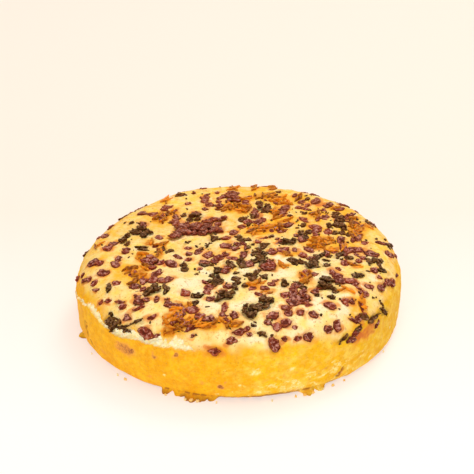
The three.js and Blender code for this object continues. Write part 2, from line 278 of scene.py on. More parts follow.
def smooth(value, start, end):
    """0 before start, 1 after end, and a soft step between."""
    part = np.clip((value - start) / (end - start), 0, 1)
    return part * part * (3 - 2 * part)


def hill(value, middle, width):
    """1 at the middle, 0 one width away on either side."""
    return 1 - smooth(np.abs(value - middle), 0, width)


def lumps(points, size, shift):
    """Smooth random lumps of about one size, mostly from -1 to 1, at an (n, 3) array of points."""
    return 1.7 * np.array([noise.noise(spot) for spot in (points / size + 17.3 * shift).tolist()])


def outline(turn):
    """The share of the tin's radius that the cake fills at an angle round it."""
    total = np.ones_like(turn)
    for repeats, cosine, sine in OUT_OF_ROUND:
        total += cosine * np.cos(repeats * turn) + sine * np.sin(repeats * turn)
    return total


def baked(turn, radius, height):
    """Moves points of the plain tin shape to the baked cake's soft, uneven shape."""
    x = radius * np.cos(turn) / MM
    y = radius * np.sin(turn) / MM
    on_top = smooth(height, EDGE_START, EDGE_HEIGHT)
    upright = smooth(height, 0, BASE_CORNER) * (1 - on_top)
    tucked = 3.0 * hill(np.degrees(turn), -105, 75) * (1 - smooth(height, 0, 15 * MM))
    swell = 0.22 * np.sin(7 * turn + height / MM / 9) + 0.16 * np.sin(11 * turn - height / MM / 6 + 1.3)
    rise = 0.35 * np.sin(x / 17 + 0.6) * np.cos(y / 21) + 0.3 * np.sin((x + 1.6 * y) / 13 + 2)
    wide = radius * (outline(turn) - tucked * MM / TIN_RADIUS) + upright * swell * MM
    tall = height + on_top * rise * MM
    return np.stack([wide * np.cos(turn), wide * np.sin(turn), tall], axis=-1)


def top_height(radius):
    """The plain tin shape's height over a radius on the dome or the rounded edge."""
    over = np.clip(radius - DOME_RADIUS, 0, EDGE_RADIUS)
    edge = EDGE_START + np.sqrt(np.maximum(EDGE_RADIUS ** 2 - over ** 2, 0))
    dome = EDGE_HEIGHT + DOME_RISE * (1 - np.minimum(radius / DOME_RADIUS, 1) ** 2)
    return np.where(radius > DOME_RADIUS, edge, dome)


def top_point(x, y):
    """The point of the cake's top over a place in plan, in metres."""
    turn = np.arctan2(y, x)
    radius = np.minimum(np.hypot(x, y) / outline(turn), TIN_RADIUS - 0.1 * MM)
    return baked(turn, radius, top_height(radius))


def side_point(angle, height):
    """The point of the upright side at an angle in degrees and a height in metres."""
    turn = np.radians(np.asarray(angle, float))
    return baked(turn, np.full_like(turn, TIN_RADIUS), np.asarray(height, float))


WHOLE = 100.0  # longer than any patch, so that a patch stays in one piece


def chopped(heaps, seed, most=WHOLE, bit=WHOLE, slim=0.85):
    """Splits each heap that is longer than most into bits of about one length, each slim times
    as wide as it is long. Gives each bit's place on the top, the way the crust faces there, its
    turn in radians, its length and width in metres, and whether it is one of a pile."""
    chance = np.random.default_rng(seed)
    places, turns, sizes, piled = [], [], [], []
    for x, y, length, width, turn in heaps:
        along = round(length / bit) if length > most else 1
        across = round(width / (slim * bit)) if width > slim * most else 1
        many = along * across > 1
        way = math.radians(turn)
        for i, j in np.ndindex(along, across):
            jog = chance.uniform(-0.35, 0.35, 2) if many else np.zeros(2)
            u = ((i + 0.5) / along - 0.5 + jog[0] / along) * length
            v = ((j + 0.5) / across - 0.5 + jog[1] / across) * width
            places.append((x + u * math.cos(way) - v * math.sin(way),
                           y + u * math.sin(way) + v * math.cos(way)))
            turns.append(way + (chance.uniform(-0.8, 0.8) if many else chance.uniform(-0.1, 0.1)))
            overlap = 1.36 if along * across > 3 else 1.15
            grow = overlap * chance.uniform(0.78, 1.22) if many else 1.12
            sizes.append((grow * length / along, grow * width / across))
            piled.append(float(along * across > 2))
    flat = np.array(places) * MM
    spot = top_point(flat[:, 0], flat[:, 1])
    step = 0.5 * MM
    aside = top_point(flat[:, 0] + step, flat[:, 1]) - top_point(flat[:, 0] - step, flat[:, 1])
    ahead = top_point(flat[:, 0], flat[:, 1] + step) - top_point(flat[:, 0], flat[:, 1] - step)
    facing = np.cross(aside, ahead)
    facing /= np.linalg.norm(facing, axis=1)[:, None]
    return {"place": spot, "facing": facing, "turn": np.array(turns), "size": np.array(sizes) * MM,
            "piled": np.array(piled)}


LONGEST_BIT, CHOPPED_BIT = 7.6, 4.2
red_bits = chopped(RED_HEAPS, 11, LONGEST_BIT, CHOPPED_BIT)
dark_bits = chopped(DARK_HEAPS, 23, LONGEST_BIT, CHOPPED_BIT, 0.6)
peel_stains = chopped(PEEL_PATCHES, 5)
syrup_pools = chopped(SYRUP_POOLS, 6)
pale_patches = chopped(PALE_PATCHES, 7)
juice_runs = chopped(JUICE_RUNS, 8)


def nearness(points, bits, inner, outer, grow=0.0):
    """1 over each bit, falling to 0 where the distance is outer times the bit's own outline."""
    most = np.zeros(len(points))
    columns = (bits[key] for key in ("place", "facing", "turn", "size"))
    for place, facing, turn, (length, width) in zip(*columns):
        reach = outer * (length / 2 + grow)
        near = np.flatnonzero(np.all(np.abs(points - place) < reach, axis=1))
        if not len(near):
            continue
        along = np.array([math.cos(turn), math.sin(turn), 0.0])
        along -= facing * (along @ facing)
        along /= np.linalg.norm(along)
        away = points[near] - place
        u = away @ along / (length / 2 + grow)
        v = away @ np.cross(facing, along) / (width / 2 + grow)
        most[near] = np.maximum(most[near], 1 - smooth(np.hypot(u, v), inner, outer))
    return most


# Rings of points, from the middle of the base out, up the side and in over the top. Each ring
# has a radius, a height, degrees up the rounded edge, the way it faces, and the angles of its
# points, which lie closer along the tear.
SIDE_POINTS = 760
BASE_RINGS = (18, 36, 54, 68, 76, 82, 85.8)
LIP_STEP, EDGE_STEP, SIDE_STEP, DOME_STEP = 1.4, 2.6, 0.8 * MM, 0.8 * MM
TEAR_STRETCH = np.radians((-175, -98))
TEAR_FROM, TEAR_TO, LIP_TO = 6, 48, 50  # degrees up the rounded edge: closer points, closer rings


def even(count):
    return -math.pi + np.arange(count) * 2 * math.pi / count


def cake_rings():
    rings = []
    for across in BASE_RINGS:
        points = even(round(SIDE_POINTS * (across / BASE_RINGS[-1]) ** 2))
        rings.append((across * MM, 0.0, -1.0, 0.0, -1.0, points))
    side = even(SIDE_POINTS)
    for turn in np.radians((15, 30, 45, 60, 75, 90)):
        wide = TIN_RADIUS - BASE_CORNER * (1 - math.sin(turn))
        rings.append((wide, BASE_CORNER * (1 - math.cos(turn)), 0.0, math.sin(turn), -math.cos(turn), side))
    steps = round((EDGE_START - BASE_CORNER) / SIDE_STEP)
    for height in np.linspace(BASE_CORNER, EDGE_START, steps + 1)[1:]:
        rings.append((TIN_RADIUS, height, 0.0, 1.0, 0.0, side))
    low, high = TEAR_STRETCH
    extra = side[(side > low) & (side < high)] + math.pi / SIDE_POINTS
    close = np.sort(np.concatenate([side, extra]))
    rises = np.concatenate([np.arange(LIP_STEP, LIP_TO, LIP_STEP), np.arange(LIP_TO, 90.1, EDGE_STEP)])
    for rise in rises:
        out, up = math.cos(math.radians(rise)), math.sin(math.radians(rise))
        rings.append((DOME_RADIUS + EDGE_RADIUS * out, EDGE_START + EDGE_RADIUS * up, rise, out, up,
                      close if TEAR_FROM < rise < TEAR_TO else side))
    for radius in np.arange(DOME_RADIUS - DOME_STEP, DOME_STEP / 2, -DOME_STEP):
        height = EDGE_HEIGHT + DOME_RISE * (1 - (radius / DOME_RADIUS) ** 2)
        points = even(max(6, round(2 * math.pi * radius / DOME_STEP)))
        rings.append((radius, height, 90.0, 0.0, 1.0, points))
    return rings


def joined(lower, upper, first_lower, first_upper):
    """The faces between two closed rings of angles, quads where they match."""
    n, m = len(lower), len(upper)
    if n == m:
        return [(first_lower + i, first_lower + (i + 1) % n, first_upper + (i + 1) % n, first_upper + i)
                for i in range(n)]
    lower = np.append(lower, lower[0] + 2 * math.pi)
    upper = np.append(upper, upper[0] + 2 * math.pi)
    faces = []
    i = j = 0
    while i < n or j < m:
        if j == m or (i < n and lower[i + 1] <= upper[j + 1]):
            faces.append((first_lower + i, first_lower + (i + 1) % n, first_upper + j % m))
            i += 1
        else:
            faces.append((first_lower + i % n, first_upper + (j + 1) % m, first_upper + j))
            j += 1
    return faces


rings = cake_rings()
counts = [len(ring[5]) for ring in rings]
spread = np.repeat(np.array([ring[:5] for ring in rings]), counts, axis=0)
turn = np.concatenate([ring[5] for ring in rings])
radius, height, rise, out, up = spread.T
points = baked(turn, radius, height)
facing = np.stack([out * np.cos(turn), out * np.sin(turn), up], axis=-1)
angle = np.degrees(turn)
off_base = smooth(height, 0, 1.5 * MM)

# The tear: the side's crust flares out to a ragged edge, then the bare crumb drops behind it,
# and the top skin starts again past it with a slight curl.
around = np.stack([angle, 0 * angle, 0 * angle], axis=-1)
ragged = lumps(around, 3.1, 3) + 0.6 * lumps(around, 1.3, 4) + 0.3 * lumps(around, 0.6, 5)
width = np.interp(angle, TEAR_ANGLES, TEAR_WIDTH) * MM
depth = np.interp(angle, TEAR_ANGLES, TEAR_DEPTH) * MM
start = np.interp(angle, TEAR_ANGLES, TEAR_START) + 1.6 * ragged
uneven = 1 + 0.45 * lumps(around, 2.3, 8) + 0.4 * lumps(around, 0.9, 9)
end = start + np.degrees(width / EDGE_RADIUS) * uneven
open_tear = smooth(width, 0, 1.2 * MM)
flare = 0.8 * MM * smooth(rise, start - 11, start - 1) * (1 - smooth(rise, start, start + 2))
bare = smooth(rise, start - 0.5, start + 1.0) * (1 - smooth(rise, end - 0.6, end + 1.0))
rough_crumb = 0.9 * lumps(points, 2.0 * MM, 31) + 0.9 * lumps(points, 1.0 * MM, 32)
curl = 0.55 * MM * hill(rise, end + 2.4, 3.6)
torn = open_tear * bare
tear = open_tear * (flare + curl) - torn * (depth - 0.85 * MM * rough_crumb)

# The foot: thin tongues of batter that ran out under the tin's edge.
foot = np.zeros(len(points))
tongues = np.zeros(len(points))
tongue_reach = np.zeros(len(points))
for at, half, reach in FEET:
    torn_edge = 0.85 + 0.3 * lumps(around, 3.0, at) + 0.3 * lumps(around, 1.2, at + 50)
    share = hill(angle, at, half) * (1 - smooth(height, 0.5 * MM, FOOT_HEIGHT))
    tongue_reach = np.maximum(tongue_reach, reach * MM * hill(angle, at, half))
    tongues = np.maximum(tongues, reach * MM * torn_edge * share)
    foot = np.maximum(foot, (TIN_RADIUS - radius) * smooth(share, 0, 0.8) + reach * MM * torn_edge * share)
foot *= radius > TIN_RADIUS - BASE_CORNER - 0.5 * MM

# The skin: broad soft swells, small wrinkles, and a dip with a slight rim round each bit.
wrinkles = 0.20 * lumps(points, 9 * MM, 51) + 0.12 * lumps(points, 3.5 * MM, 52)
wrinkles += 0.06 * lumps(points, 1.9 * MM, 53)
under_red = nearness(points, red_bits, 0.8, 1.3)
under_dark = nearness(points, dark_bits, 0.8, 1.3)
under = np.maximum(under_red, under_dark)
rim = np.maximum(nearness(points, red_bits, 1.2, 2.0), nearness(points, dark_bits, 1.2, 2.0))
skin = wrinkles * MM - 0.35 * MM * under + 0.3 * MM * (rim - under)
points = points + facing * (off_base * (skin * (1 - torn) + tear))[:, None]
points += np.stack([np.cos(turn), np.sin(turn), 0 * turn], axis=-1) * foot[:, None]

# Where the tin held on, the side's skin came away in soft level streaks and left it pale: the
# first rows are at the front, as angle, height, length and width in mm.
PALE_STREAKS = [
    (-115.2, 12, 2.4, 1.8), (-91.3, 10.2, 7.5, 2.4), (-85.5, 18.8, 8, 2.8), (-67, 12.7, 7.5, 2.2),
    (-57.7, 14.1, 6, 4.6), (-55.8, 11.8, 7, 4.2), (-73.5, 18, 4.5, 2.2), (-80, 7, 6, 4),
    (-75, 9.5, 5, 3), (-84, 5, 5, 3.2), (-70, 7, 6, 3), (-62, 8.5, 7, 2), (-48.5, 9.7, 8, 1.6),
    (-52, 12.5, 6, 1.8), (-44, 12.5, 8, 1.6), (-98, 5, 4, 1.6), (-56, 5.5, 6, 2.2), (-64, 4.5, 6, 2),
    (-38, 16, 7, 1.6), (-33, 11, 7, 1.8), (-78, 12.5, 4, 1.8), (-103, 17, 4, 1.6), (-94, 20, 5, 2),
]
chance = np.random.default_rng(77)
PALE_STREAKS += [(chance.uniform(-25, 175), chance.uniform(4, 16), chance.uniform(3.5, 8),
                  chance.uniform(1.4, 3)) for _ in range(34)]


def on_side(rows, lean=0.0):
    """Places of marks on the upright side, in the terms that nearness uses."""
    turn, high, long, wide = np.array(rows, float).T
    facing = np.stack([np.cos(np.radians(turn)), np.sin(np.radians(turn)), 0 * turn], axis=-1)
    return {"place": side_point(turn, high * MM), "facing": facing, "turn": np.radians(turn + 90 + lean),
            "size": np.stack([long, wide], axis=-1) * MM}


wavy = points + np.stack([0 * turn, 0 * turn, 1.5 * MM * lumps(points, 6 * MM, 93)], axis=-1)
streaky = lumps(wavy * (0.5, 0.5, 1.2), 2.6 * MM, 91) + 0.6 * lumps(points, 1.3 * MM, 92)
low_right = np.maximum(hill(angle, -76, 28) * (1 - smooth(height, 8 * MM, 15 * MM)),
                       0.85 * hill(angle, -55, 42) * (1 - smooth(height, 8 * MM, 19 * MM)))
low_right = np.maximum(low_right, 0.6 * hill(angle, 80, 110) * (1 - smooth(height, 6 * MM, 17 * MM)))
worn = 0.75 * smooth(low_right + 0.5 * streaky, 0.6, 1.1)
worn = np.maximum(worn, nearness(wavy, on_side(PALE_STREAKS), 0.3, 1.5) * smooth(streaky, -0.7, 0.3))
worn = np.clip(worn * (rise < 30), 0, 1)
points -= facing * (off_base * 0.4 * MM * worn)[:, None]

# Small cracks low on the side, at the left and at the right front: the angles of the upper and
# the lower end, their heights in mm, and the depth in mm.
CRACKS = ((-154.4, -153.2, 18, 9.5, 0.8), (-152.5, -149, 9.0, 5.5, 0.5), (-62.8, -59.2, 14.8, 12.4, 0.3),
          (-54.2, -55, 10, 4.5, 0.5), (-53.8, -56.2, 8.5, 3.4, 0.9))
crack = np.zeros(len(points))
for angle_a, angle_b, high, low, deep in CRACKS:
    part = (high * MM - height) / ((high - low) * MM)
    line = angle_a + (angle_b - angle_a) * part + 0.35 * lumps(points, 2.5 * MM, 61)
    inside = smooth(part, 0, 0.15) * (1 - smooth(part, 0.85, 1))
    inside *= smooth(lumps(points, 1.7 * MM, 62), -0.4, 0.2)
    crack = np.maximum(crack, deep * hill(angle, line, 1.3) * inside)
points -= facing * (crack * MM)[:, None]

# The line where a tongue of batter parts from the side, painted dark as the shade in the notch under it; it
# is not cut into the shape.
parting_height = 1.9 * MM + 0.3 * MM * lumps(around, 1.5, 64)
parting_shade = smooth(tongue_reach, 1 * MM, 2 * MM) * hill(height, parting_height, 0.9 * MM)
crack = np.maximum(crack, 0.55 * parting_shade * smooth(lumps(points, 2.4 * MM, 63), -0.5, 0.1))

first = np.concatenate([[0], np.cumsum(counts)])
base_middle, top_middle = first[-1], first[-1] + 1
poles = np.array([[0, 0, 0], baked(np.zeros(1), np.zeros(1), np.array([EDGE_HEIGHT + DOME_RISE]))[0]])
faces = [(base_middle, (i + 1) % counts[0], i) for i in range(counts[0])]
for k in range(len(rings) - 1):
    faces += joined(rings[k][5], rings[k + 1][5], first[k], first[k + 1])
faces += [(top_middle, first[-2] + i, first[-2] + (i + 1) % counts[-1]) for i in range(counts[-1])]

cake_mesh = bpy.data.meshes.new("cake_body")
cake_mesh.from_pydata(np.vstack([points, poles]).tolist(), [], faces)
cake_mesh.shade_smooth()


def added(name, data):
    """Puts an object into the scene, at the origin."""
    made = bpy.data.objects.new(name, data)
    bpy.context.scene.collection.objects.link(made)
    return made


def paint(mesh, name, values):
    """Stores one number for each point, for the materials to read."""
    layer = mesh.attributes.new(name, "FLOAT", "POINT")
    full = np.zeros(len(mesh.vertices))
    full[:len(values)] = values
    layer.data.foreach_set("value", full)


# Where berries baked just under the side's crust show through it, as soft stains, as fainter
# ones and as dark flecks: angle, height, length and width in mm. The first rows are at the
# front, and later ones repeat the same scatter round the back.
SIDE_STAINS = (
    (-130.8, 19.2, 16.5, 9), (-119, 22.5, 4.5, 4.5), (-111, 25.5, 4.5, 5), (-96.5, 9.7, 4, 4.5),
    (-38, 23, 4, 2.5), (-12, 12, 3.5, 3), (14, 20, 6, 3), (38, 8, 3, 2.4), (61, 17, 7, 3.4),
    (84, 24, 4, 3), (103, 10, 3, 3), (127, 19, 6, 3.2), (151, 12, 3.4, 2.6), (176, 22, 5, 3),
)
FAINT_STAINS = ((-75.8, 14.9, 4.2, 3.6), (-103, 12, 4, 2.4), (-121, 8, 5, 2.4), (-143, 9, 5, 3))
SIDE_FLECKS = (
    (-132.5, 21.6, 7, 2.4), (-129, 21.4, 6, 2.2), (-111.5, 26.4, 2.5, 1.2), (-110, 24.2, 1.5, 1.2),
    (-96.5, 10.6, 2, 1.6), (-95, 13.4, 1.5, 1.1), (-61.5, 12.6, 5, 1.0), (-58, 11, 2, 1.2),
    (-55.2, 5.8, 4, 1.1), (-72, 3.8, 6, 1.0), (15, 20.5, 3, 1.2), (60, 17.5, 3, 1.3),
    (128, 19.5, 3, 1.2), (175, 22.6, 2, 1.2),
)

# Spots where the side's crust toasted brown beside a crack, in the same terms.
TOASTED_SPOTS = ((-155.2, 14.5, 5, 9), (-55.5, 5.4, 1.1, 5))

patchy = 0.5 + 0.5 * lumps(points, 6 * MM, 71)
soaked = points + 1.3 * MM * np.stack([lumps(points, 3.5 * MM, 81 + k) for k in range(3)], axis=-1)
spread_out = soaked + 3 * MM * np.stack([lumps(points, 9 * MM, 85 + k) for k in range(3)], axis=-1)
GOLD_TO = 34  # degrees up the rounded edge, where the side's gold gives way to the top's skin
gold_line = GOLD_TO + 6 * lumps(points, 12 * MM, 72) + 4 * lumps(points, 4 * MM, 73)
gold_line -= 6 * hill(angle, -52, 45)
from_middle = np.hypot(points[:, 0], points[:, 1])
toasted_and_contact_shade = 0.4 * smooth(tongues, 0.6 * MM, 1.8 * MM) * smooth(lumps(points, 2.2 * MM, 78), -0.2, 0.5)
# A dark band low on the front of the side: partly browned crust, partly painted contact shadow where the side
# meets the table.
seared_and_contact_shade = hill(angle, -84, 45) * (1 - smooth(height, 2.1 * MM, 3.3 * MM))
seared_and_contact_shade *= 1 - smooth(tongue_reach, 0, 1 * MM)
toasted_and_contact_shade = np.maximum(toasted_and_contact_shade, seared_and_contact_shade * smooth(lumps(points, 2.6 * MM, 80), -1.0, 0.0))
toasted_and_contact_shade = np.maximum(toasted_and_contact_shade, 0.45 * nearness(soaked, on_side(TOASTED_SPOTS), 0.4, 1.2))
# A thin dark line at the foot all round: partly the burnt base edge, partly painted contact shadow.
burnt_and_shaded_base_line = (1 - smooth(height, 0.3 * MM, 1.5 * MM)) * (radius > 80 * MM)
toasted_and_contact_shade = np.maximum(toasted_and_contact_shade, burnt_and_shaded_base_line * smooth(patchy, 0.25, 0.6))
# The top is browner toward the back, the sides and the rim, and a little in the middle: partly real browning,
# partly a painted pool of light that leaves the front pale.
browning_and_front_light = 0.50 + 8 * points[:, 1] + 0.3 * smooth(np.abs(points[:, 0]), 40 * MM, 85 * MM)
browning_and_front_light += 0.25 * smooth(from_middle, 70 * MM, 88 * MM) + 0.22 * lumps(points, 22 * MM, 74)
browning_and_front_light += 0.12 * hill(from_middle, 0, 50 * MM)
paint(cake_mesh, "gold", 1 - smooth(rise, gold_line - 10, gold_line + 10))
paint(cake_mesh, "browning_and_front_light", np.clip(browning_and_front_light, 0, 1))
paint(cake_mesh, "torn", torn)
spotty = smooth(0.5 + 0.5 * lumps(points, 7 * MM, 75), 0.25, 0.75)
juice = nearness(soaked, red_bits, 0.8, 1.6, 0.35 * MM) * (0.31 + 0.36 * spotty)
streaked = smooth(0.5 + 0.5 * lumps(points, 2.5 * MM, 77), 0.2, 0.8)
juice = np.maximum(juice, nearness(soaked, juice_runs, 0.45, 1.25) * (0.7 + 0.3 * streaked))
amber_run = nearness(soaked, chopped(AMBER_RUN, 9), 0.6, 1.2)
juice = np.maximum(juice, amber_run * (0.72 + 0.28 * lumps(points, 1.8 * MM, 79)))
paint(cake_mesh, "red_juice", juice)
paint(cake_mesh, "dark_juice", nearness(soaked, dark_bits, 0.85, 1.5, 0.4 * MM) * (0.15 + 0.6 * spotty))
paint(cake_mesh, "peel_syrup", nearness(soaked, peel_stains, 0.5, 1.5, 1.0 * MM))
paint(cake_mesh, "syrup_pool", nearness(spread_out, syrup_pools, 0.5, 1.5, 1.0 * MM))
# A pale ring on the raised crust round each bit: a painted highlight, added to the pale patches.
pale_ring_highlight = 0.6 * rim * smooth(0.5 + 0.5 * lumps(points, 5 * MM, 76), 0.35, 0.7)
paint(cake_mesh, "pale", np.maximum(nearness(spread_out, pale_patches, 0.3, 1.5, 1.0 * MM), pale_ring_highlight))
paint(cake_mesh, "lemon", smooth(angle, -104, -78) * (1 - 0.5 * smooth(angle, 20, 80)))
stains = nearness(soaked, on_side(SIDE_STAINS), 0.3, 1.25) * (0.8 + 0.2 * smooth(patchy, 0.3, 0.7))
stains = np.maximum(stains, 0.4 * nearness(soaked, on_side(FAINT_STAINS), 0.3, 1.2))
stains = np.maximum(stains, nearness(soaked, on_side(SIDE_FLECKS, 4), 0.3, 1.3) * (0.75 + 0.25 * patchy))
paint(cake_mesh, "side_stain", stains)
paint(cake_mesh, "worn", worn)
paint(cake_mesh, "toasted_and_contact_shade", toasted_and_contact_shade)
paint(cake_mesh, "crack", np.minimum(crack / 0.4, 1))


def node(tree, kind, sockets=(), **settings):
    """Adds a node. sockets pairs a socket's name or number with a value or with an output."""
    made = tree.nodes.new(kind)
    for name, value in settings.items():
        setattr(made, name, value)
    for name, value in dict(sockets).items():
        if isinstance(value, bpy.types.NodeSocket):
            tree.links.new(value, made.inputs[name])
        else:
            made.inputs[name].default_value = value
    return made


def mixed(tree, part, first, second):
    """A colour between two others. Each may be a colour or an output."""
    return node(tree, "ShaderNodeMix", {0: part, 6: first, 7: second}, data_type="RGBA").outputs[2]


def graded(tree, value, low, high, start=0.0, end=1.0):
    """Spreads a value between low and high to run from start to end."""
    made = node(tree, "ShaderNodeMapRange", {"Value": value, "From Min": low, "From Max": high,
                                             "To Min": start, "To Max": end})
    return made.outputs["Result"]


def arithmetic(tree, way, first, second=0.0):
    return node(tree, "ShaderNodeMath", {0: first, 1: second}, operation=way).outputs[0]


def times(tree, first, second):
    return arithmetic(tree, "MULTIPLY", first, second)


def vectors(tree, way, first, second):
    return node(tree, "ShaderNodeVectorMath", {0: first, 1: second}, operation=way).outputs[0]


def scaled(tree, vector, amount):
    made = node(tree, "ShaderNodeVectorMath", {0: vector, "Scale": amount}, operation="SCALE")
    return made.outputs[0]


def mm_places(tree):
    """The piece's own coordinates in millimetres, so that a noise scale is one over its size."""
    return scaled(tree, node(tree, "ShaderNodeTexCoord").outputs["Object"], 1000.0)


def cloud(tree, places, size, detail=2.0, rough=0.5):
    made = node(tree, "ShaderNodeTexNoise", {"Vector": places, "Scale": 1 / size, "Detail": detail,
                                             "Roughness": rough})
    return made.outputs["Fac"]


def painted(tree, name):
    return node(tree, "ShaderNodeAttribute", attribute_name=name).outputs["Fac"]


def material_of(name):
    made = bpy.data.materials.new(name)
    made.use_nodes = True
    made.node_tree.nodes.clear()
    return made, made.node_tree


def finish_material(tree, sockets):
    shader = node(tree, "ShaderNodeBsdfPrincipled", sockets)
    node(tree, "ShaderNodeOutputMaterial", {"Surface": shader.outputs[0]})


def new_group(name, kind, takes, gives):
    """A node group with named inputs and outputs, and what its inputs carry."""
    tree = bpy.data.node_groups.new(name, kind)
    for way, sockets in (("INPUT", takes), ("OUTPUT", gives)):
        for label, socket in sockets.items():
            tree.interface.new_socket(label, in_out=way, socket_type="NodeSocket" + socket)
    return tree, node(tree, "NodeGroupInput").outputs


def pore_group():
    """Baked sponge's pores: how open the crumb is, as a mask of pits for painted shade, and a height."""
    tree, given = new_group("sponge pores", "ShaderNodeTree",
                            {"Places": "Vector", "Pore size": "Float", "Openness": "Float"},
                            {"Pits": "Float", "Height": "Float"})
    places, size, openness = (given[label] for label in ("Places", "Pore size", "Openness"))
    scale = arithmetic(tree, "DIVIDE", 1.0, size)
    bend = node(tree, "ShaderNodeTexNoise", {"Vector": places, "Scale": scale, "Detail": 2.0})
    bent = node(tree, "ShaderNodeMix", {0: 0.25, 4: places, 5: bend.outputs["Color"]}, data_type="VECTOR")
    cells = node(tree, "ShaderNodeTexVoronoi", {"Vector": bent.outputs[1], "Scale": scale,
                                                "Randomness": 1.0})
    chosen = node(tree, "ShaderNodeSeparateColor", {"Color": cells.outputs["Color"]}).outputs["Red"]
    shown = graded(tree, arithmetic(tree, "ADD", chosen, openness), 0.85, 1.1)
    pit = times(tree, graded(tree, cells.outputs["Distance"], 0.38, 0.12), shown)
    grain = cloud(tree, places, 0.45, 3.0, 0.6)
    level = arithmetic(tree, "SUBTRACT", times(tree, grain, 0.5), pit)
    node(tree, "NodeGroupOutput", {"Pits": pit, "Height": level})
    return tree


sponge_pores = pore_group()


def crust_material():
    """Yellow sponge: pale skin on the top, golden on the side, cream where it is torn."""
    made, tree = material_of("baked_crust")
    places = mm_places(tree)
    broad = graded(tree, cloud(tree, places, 16, 2.0), 0.35, 0.65)
    mottle = graded(tree, cloud(tree, places, 4, 4.0, 0.6), 0.38, 0.62)
    fine = graded(tree, cloud(tree, places, 1.1, 3.0, 0.6), 0.3, 0.7)
    smeared = vectors(tree, "MULTIPLY", places, (0.65, 0.65, 1.0))
    smears = graded(tree, cloud(tree, smeared, 4.2, 4.0, 0.62), 0.44, 0.6)

    # Browning, with the pale front partly a painted pool of light.
    top = mixed(tree, painted(tree, "browning_and_front_light"), (1.0, 0.81, 0.38, 1), (0.95, 0.48, 0.04, 1))
    lemon = graded(tree, cloud(tree, places, 9, 2.0), 0.42, 0.62)
    top = mixed(tree, times(tree, lemon, 0.65), top, (1.0, 0.68, 0.07, 1))
    top = mixed(tree, times(tree, mottle, 0.5), top, (1.0, 0.84, 0.43, 1))
    # Pale patches of skin, and the painted highlight round each bit.
    top = mixed(tree, times(tree, painted(tree, "pale"), 0.85), top, (1.0, 0.88, 0.58, 1))
    side = mixed(tree, broad, (0.92, 0.42, 0.001, 1), (1.0, 0.55, 0.004, 1))
    lemon_side = mixed(tree, broad, (0.88, 0.48, 0.002, 1), (1.0, 0.62, 0.010, 1))
    side = mixed(tree, painted(tree, "lemon"), side, lemon_side)
    smear = mixed(tree, painted(tree, "lemon"), (1.0, 0.57, 0.016, 1), (1.0, 0.71, 0.11, 1))
    side = mixed(tree, times(tree, smears, 0.9), side, smear)
    deeper = mixed(tree, painted(tree, "lemon"), (0.78, 0.29, 0.001, 1), (0.85, 0.36, 0.001, 1))
    side = mixed(tree, times(tree, mottle, 0.6), side, deeper)
    side = mixed(tree, graded(tree, fine, 0.5, 1.0, 0.0, 0.4), side, (1.0, 0.66, 0.06, 1))
    colour = mixed(tree, painted(tree, "gold"), top, side)
    colour = mixed(tree, times(tree, fine, 0.15), colour, (0.72, 0.36, 0.04, 1))
    flecks = times(tree, graded(tree, cloud(tree, places, 1.7, 3.0, 0.7), 0.56, 0.68),
                        arithmetic(tree, "SUBTRACT", 0.75, times(tree, painted(tree, "gold"), 0.4)))
    colour = mixed(tree, flecks, colour, (0.62, 0.29, 0.05, 1))
    pool = times(tree, painted(tree, "syrup_pool"), graded(tree, mottle, 0.0, 1.0, 1.0, 0.55))
    colour = mixed(tree, pool, colour, (0.94, 0.47, 0.025, 1))
    worn = painted(tree, "worn")
    crumbly = graded(tree, cloud(tree, places, 1.6, 3.0, 0.65), 0.3, 0.7, -0.45, 0.45)
    bare = graded(tree, arithmetic(tree, "ADD", worn, crumbly), 0.2, 1.05, 0.0, 0.92)
    bare = times(tree, bare, graded(tree, worn, 0.0, 0.25))
    skinned = mixed(tree, graded(tree, bare, 0.35, 0.85), (1.0, 0.71, 0.11, 1), (1.0, 0.84, 0.35, 1))
    colour = mixed(tree, bare, colour, skinned)
    # Toasted crust, and the painted contact shadow at the foot.
    colour = mixed(tree, times(tree, painted(tree, "toasted_and_contact_shade"), 0.9), colour, (0.34, 0.12, 0.012, 1))
    colour = mixed(tree, times(tree, painted(tree, "dark_juice"), 0.6), colour,
                   (0.49, 0.24, 0.03, 1))
    juice = painted(tree, "red_juice")
    colour = mixed(tree, graded(tree, juice, 0.0, 0.5, 0.0, 0.6), colour, (0.91, 0.34, 0.03, 1))
    colour = mixed(tree, graded(tree, juice, 0.25, 0.9, 0.0, 0.85), colour, (0.64, 0.15, 0.03, 1))
    syrup = times(tree, painted(tree, "peel_syrup"), graded(tree, mottle, 0.0, 1.0, 0.7, 1.0))
    amber = mixed(tree, graded(tree, syrup, 0.45, 1.0), (0.95, 0.42, 0.01, 1), (0.62, 0.17, 0.004, 1))
    colour = mixed(tree, syrup, colour, amber)
    stained = times(tree, painted(tree, "side_stain"), graded(tree, fine, 0.2, 0.8, 1.0, 0.7))
    stain = mixed(tree, graded(tree, stained, 0.45, 0.9), (0.80, 0.29, 0.085, 1), (0.27, 0.085, 0.028, 1))
    colour = mixed(tree, graded(tree, stained, 0.05, 0.8, 0.0, 0.95), colour, stain)
    cream = graded(tree, cloud(tree, places, 2.2, 2.0), 0.4, 0.6)
    crumb = mixed(tree, cream, (1.0, 0.83, 0.42, 1), (1.0, 0.94, 0.68, 1))
    colour = mixed(tree, painted(tree, "torn"), colour, crumb)
    pores = node(tree, "ShaderNodeGroup", {"Places": places, "Pore size": 0.9, "Openness": 0.12},
                 node_tree=sponge_pores)
    # The pits darkened: painted shade in the pores.
    colour = mixed(tree, times(tree, pores.outputs["Pits"], 0.45), colour,
                   (0.50, 0.20, 0.02, 1))
    # The cracks and the tongues' parting line, darkened: painted shade in the crevices.
    colour = mixed(tree, painted(tree, "crack"), colour, (0.40, 0.13, 0.02, 1))

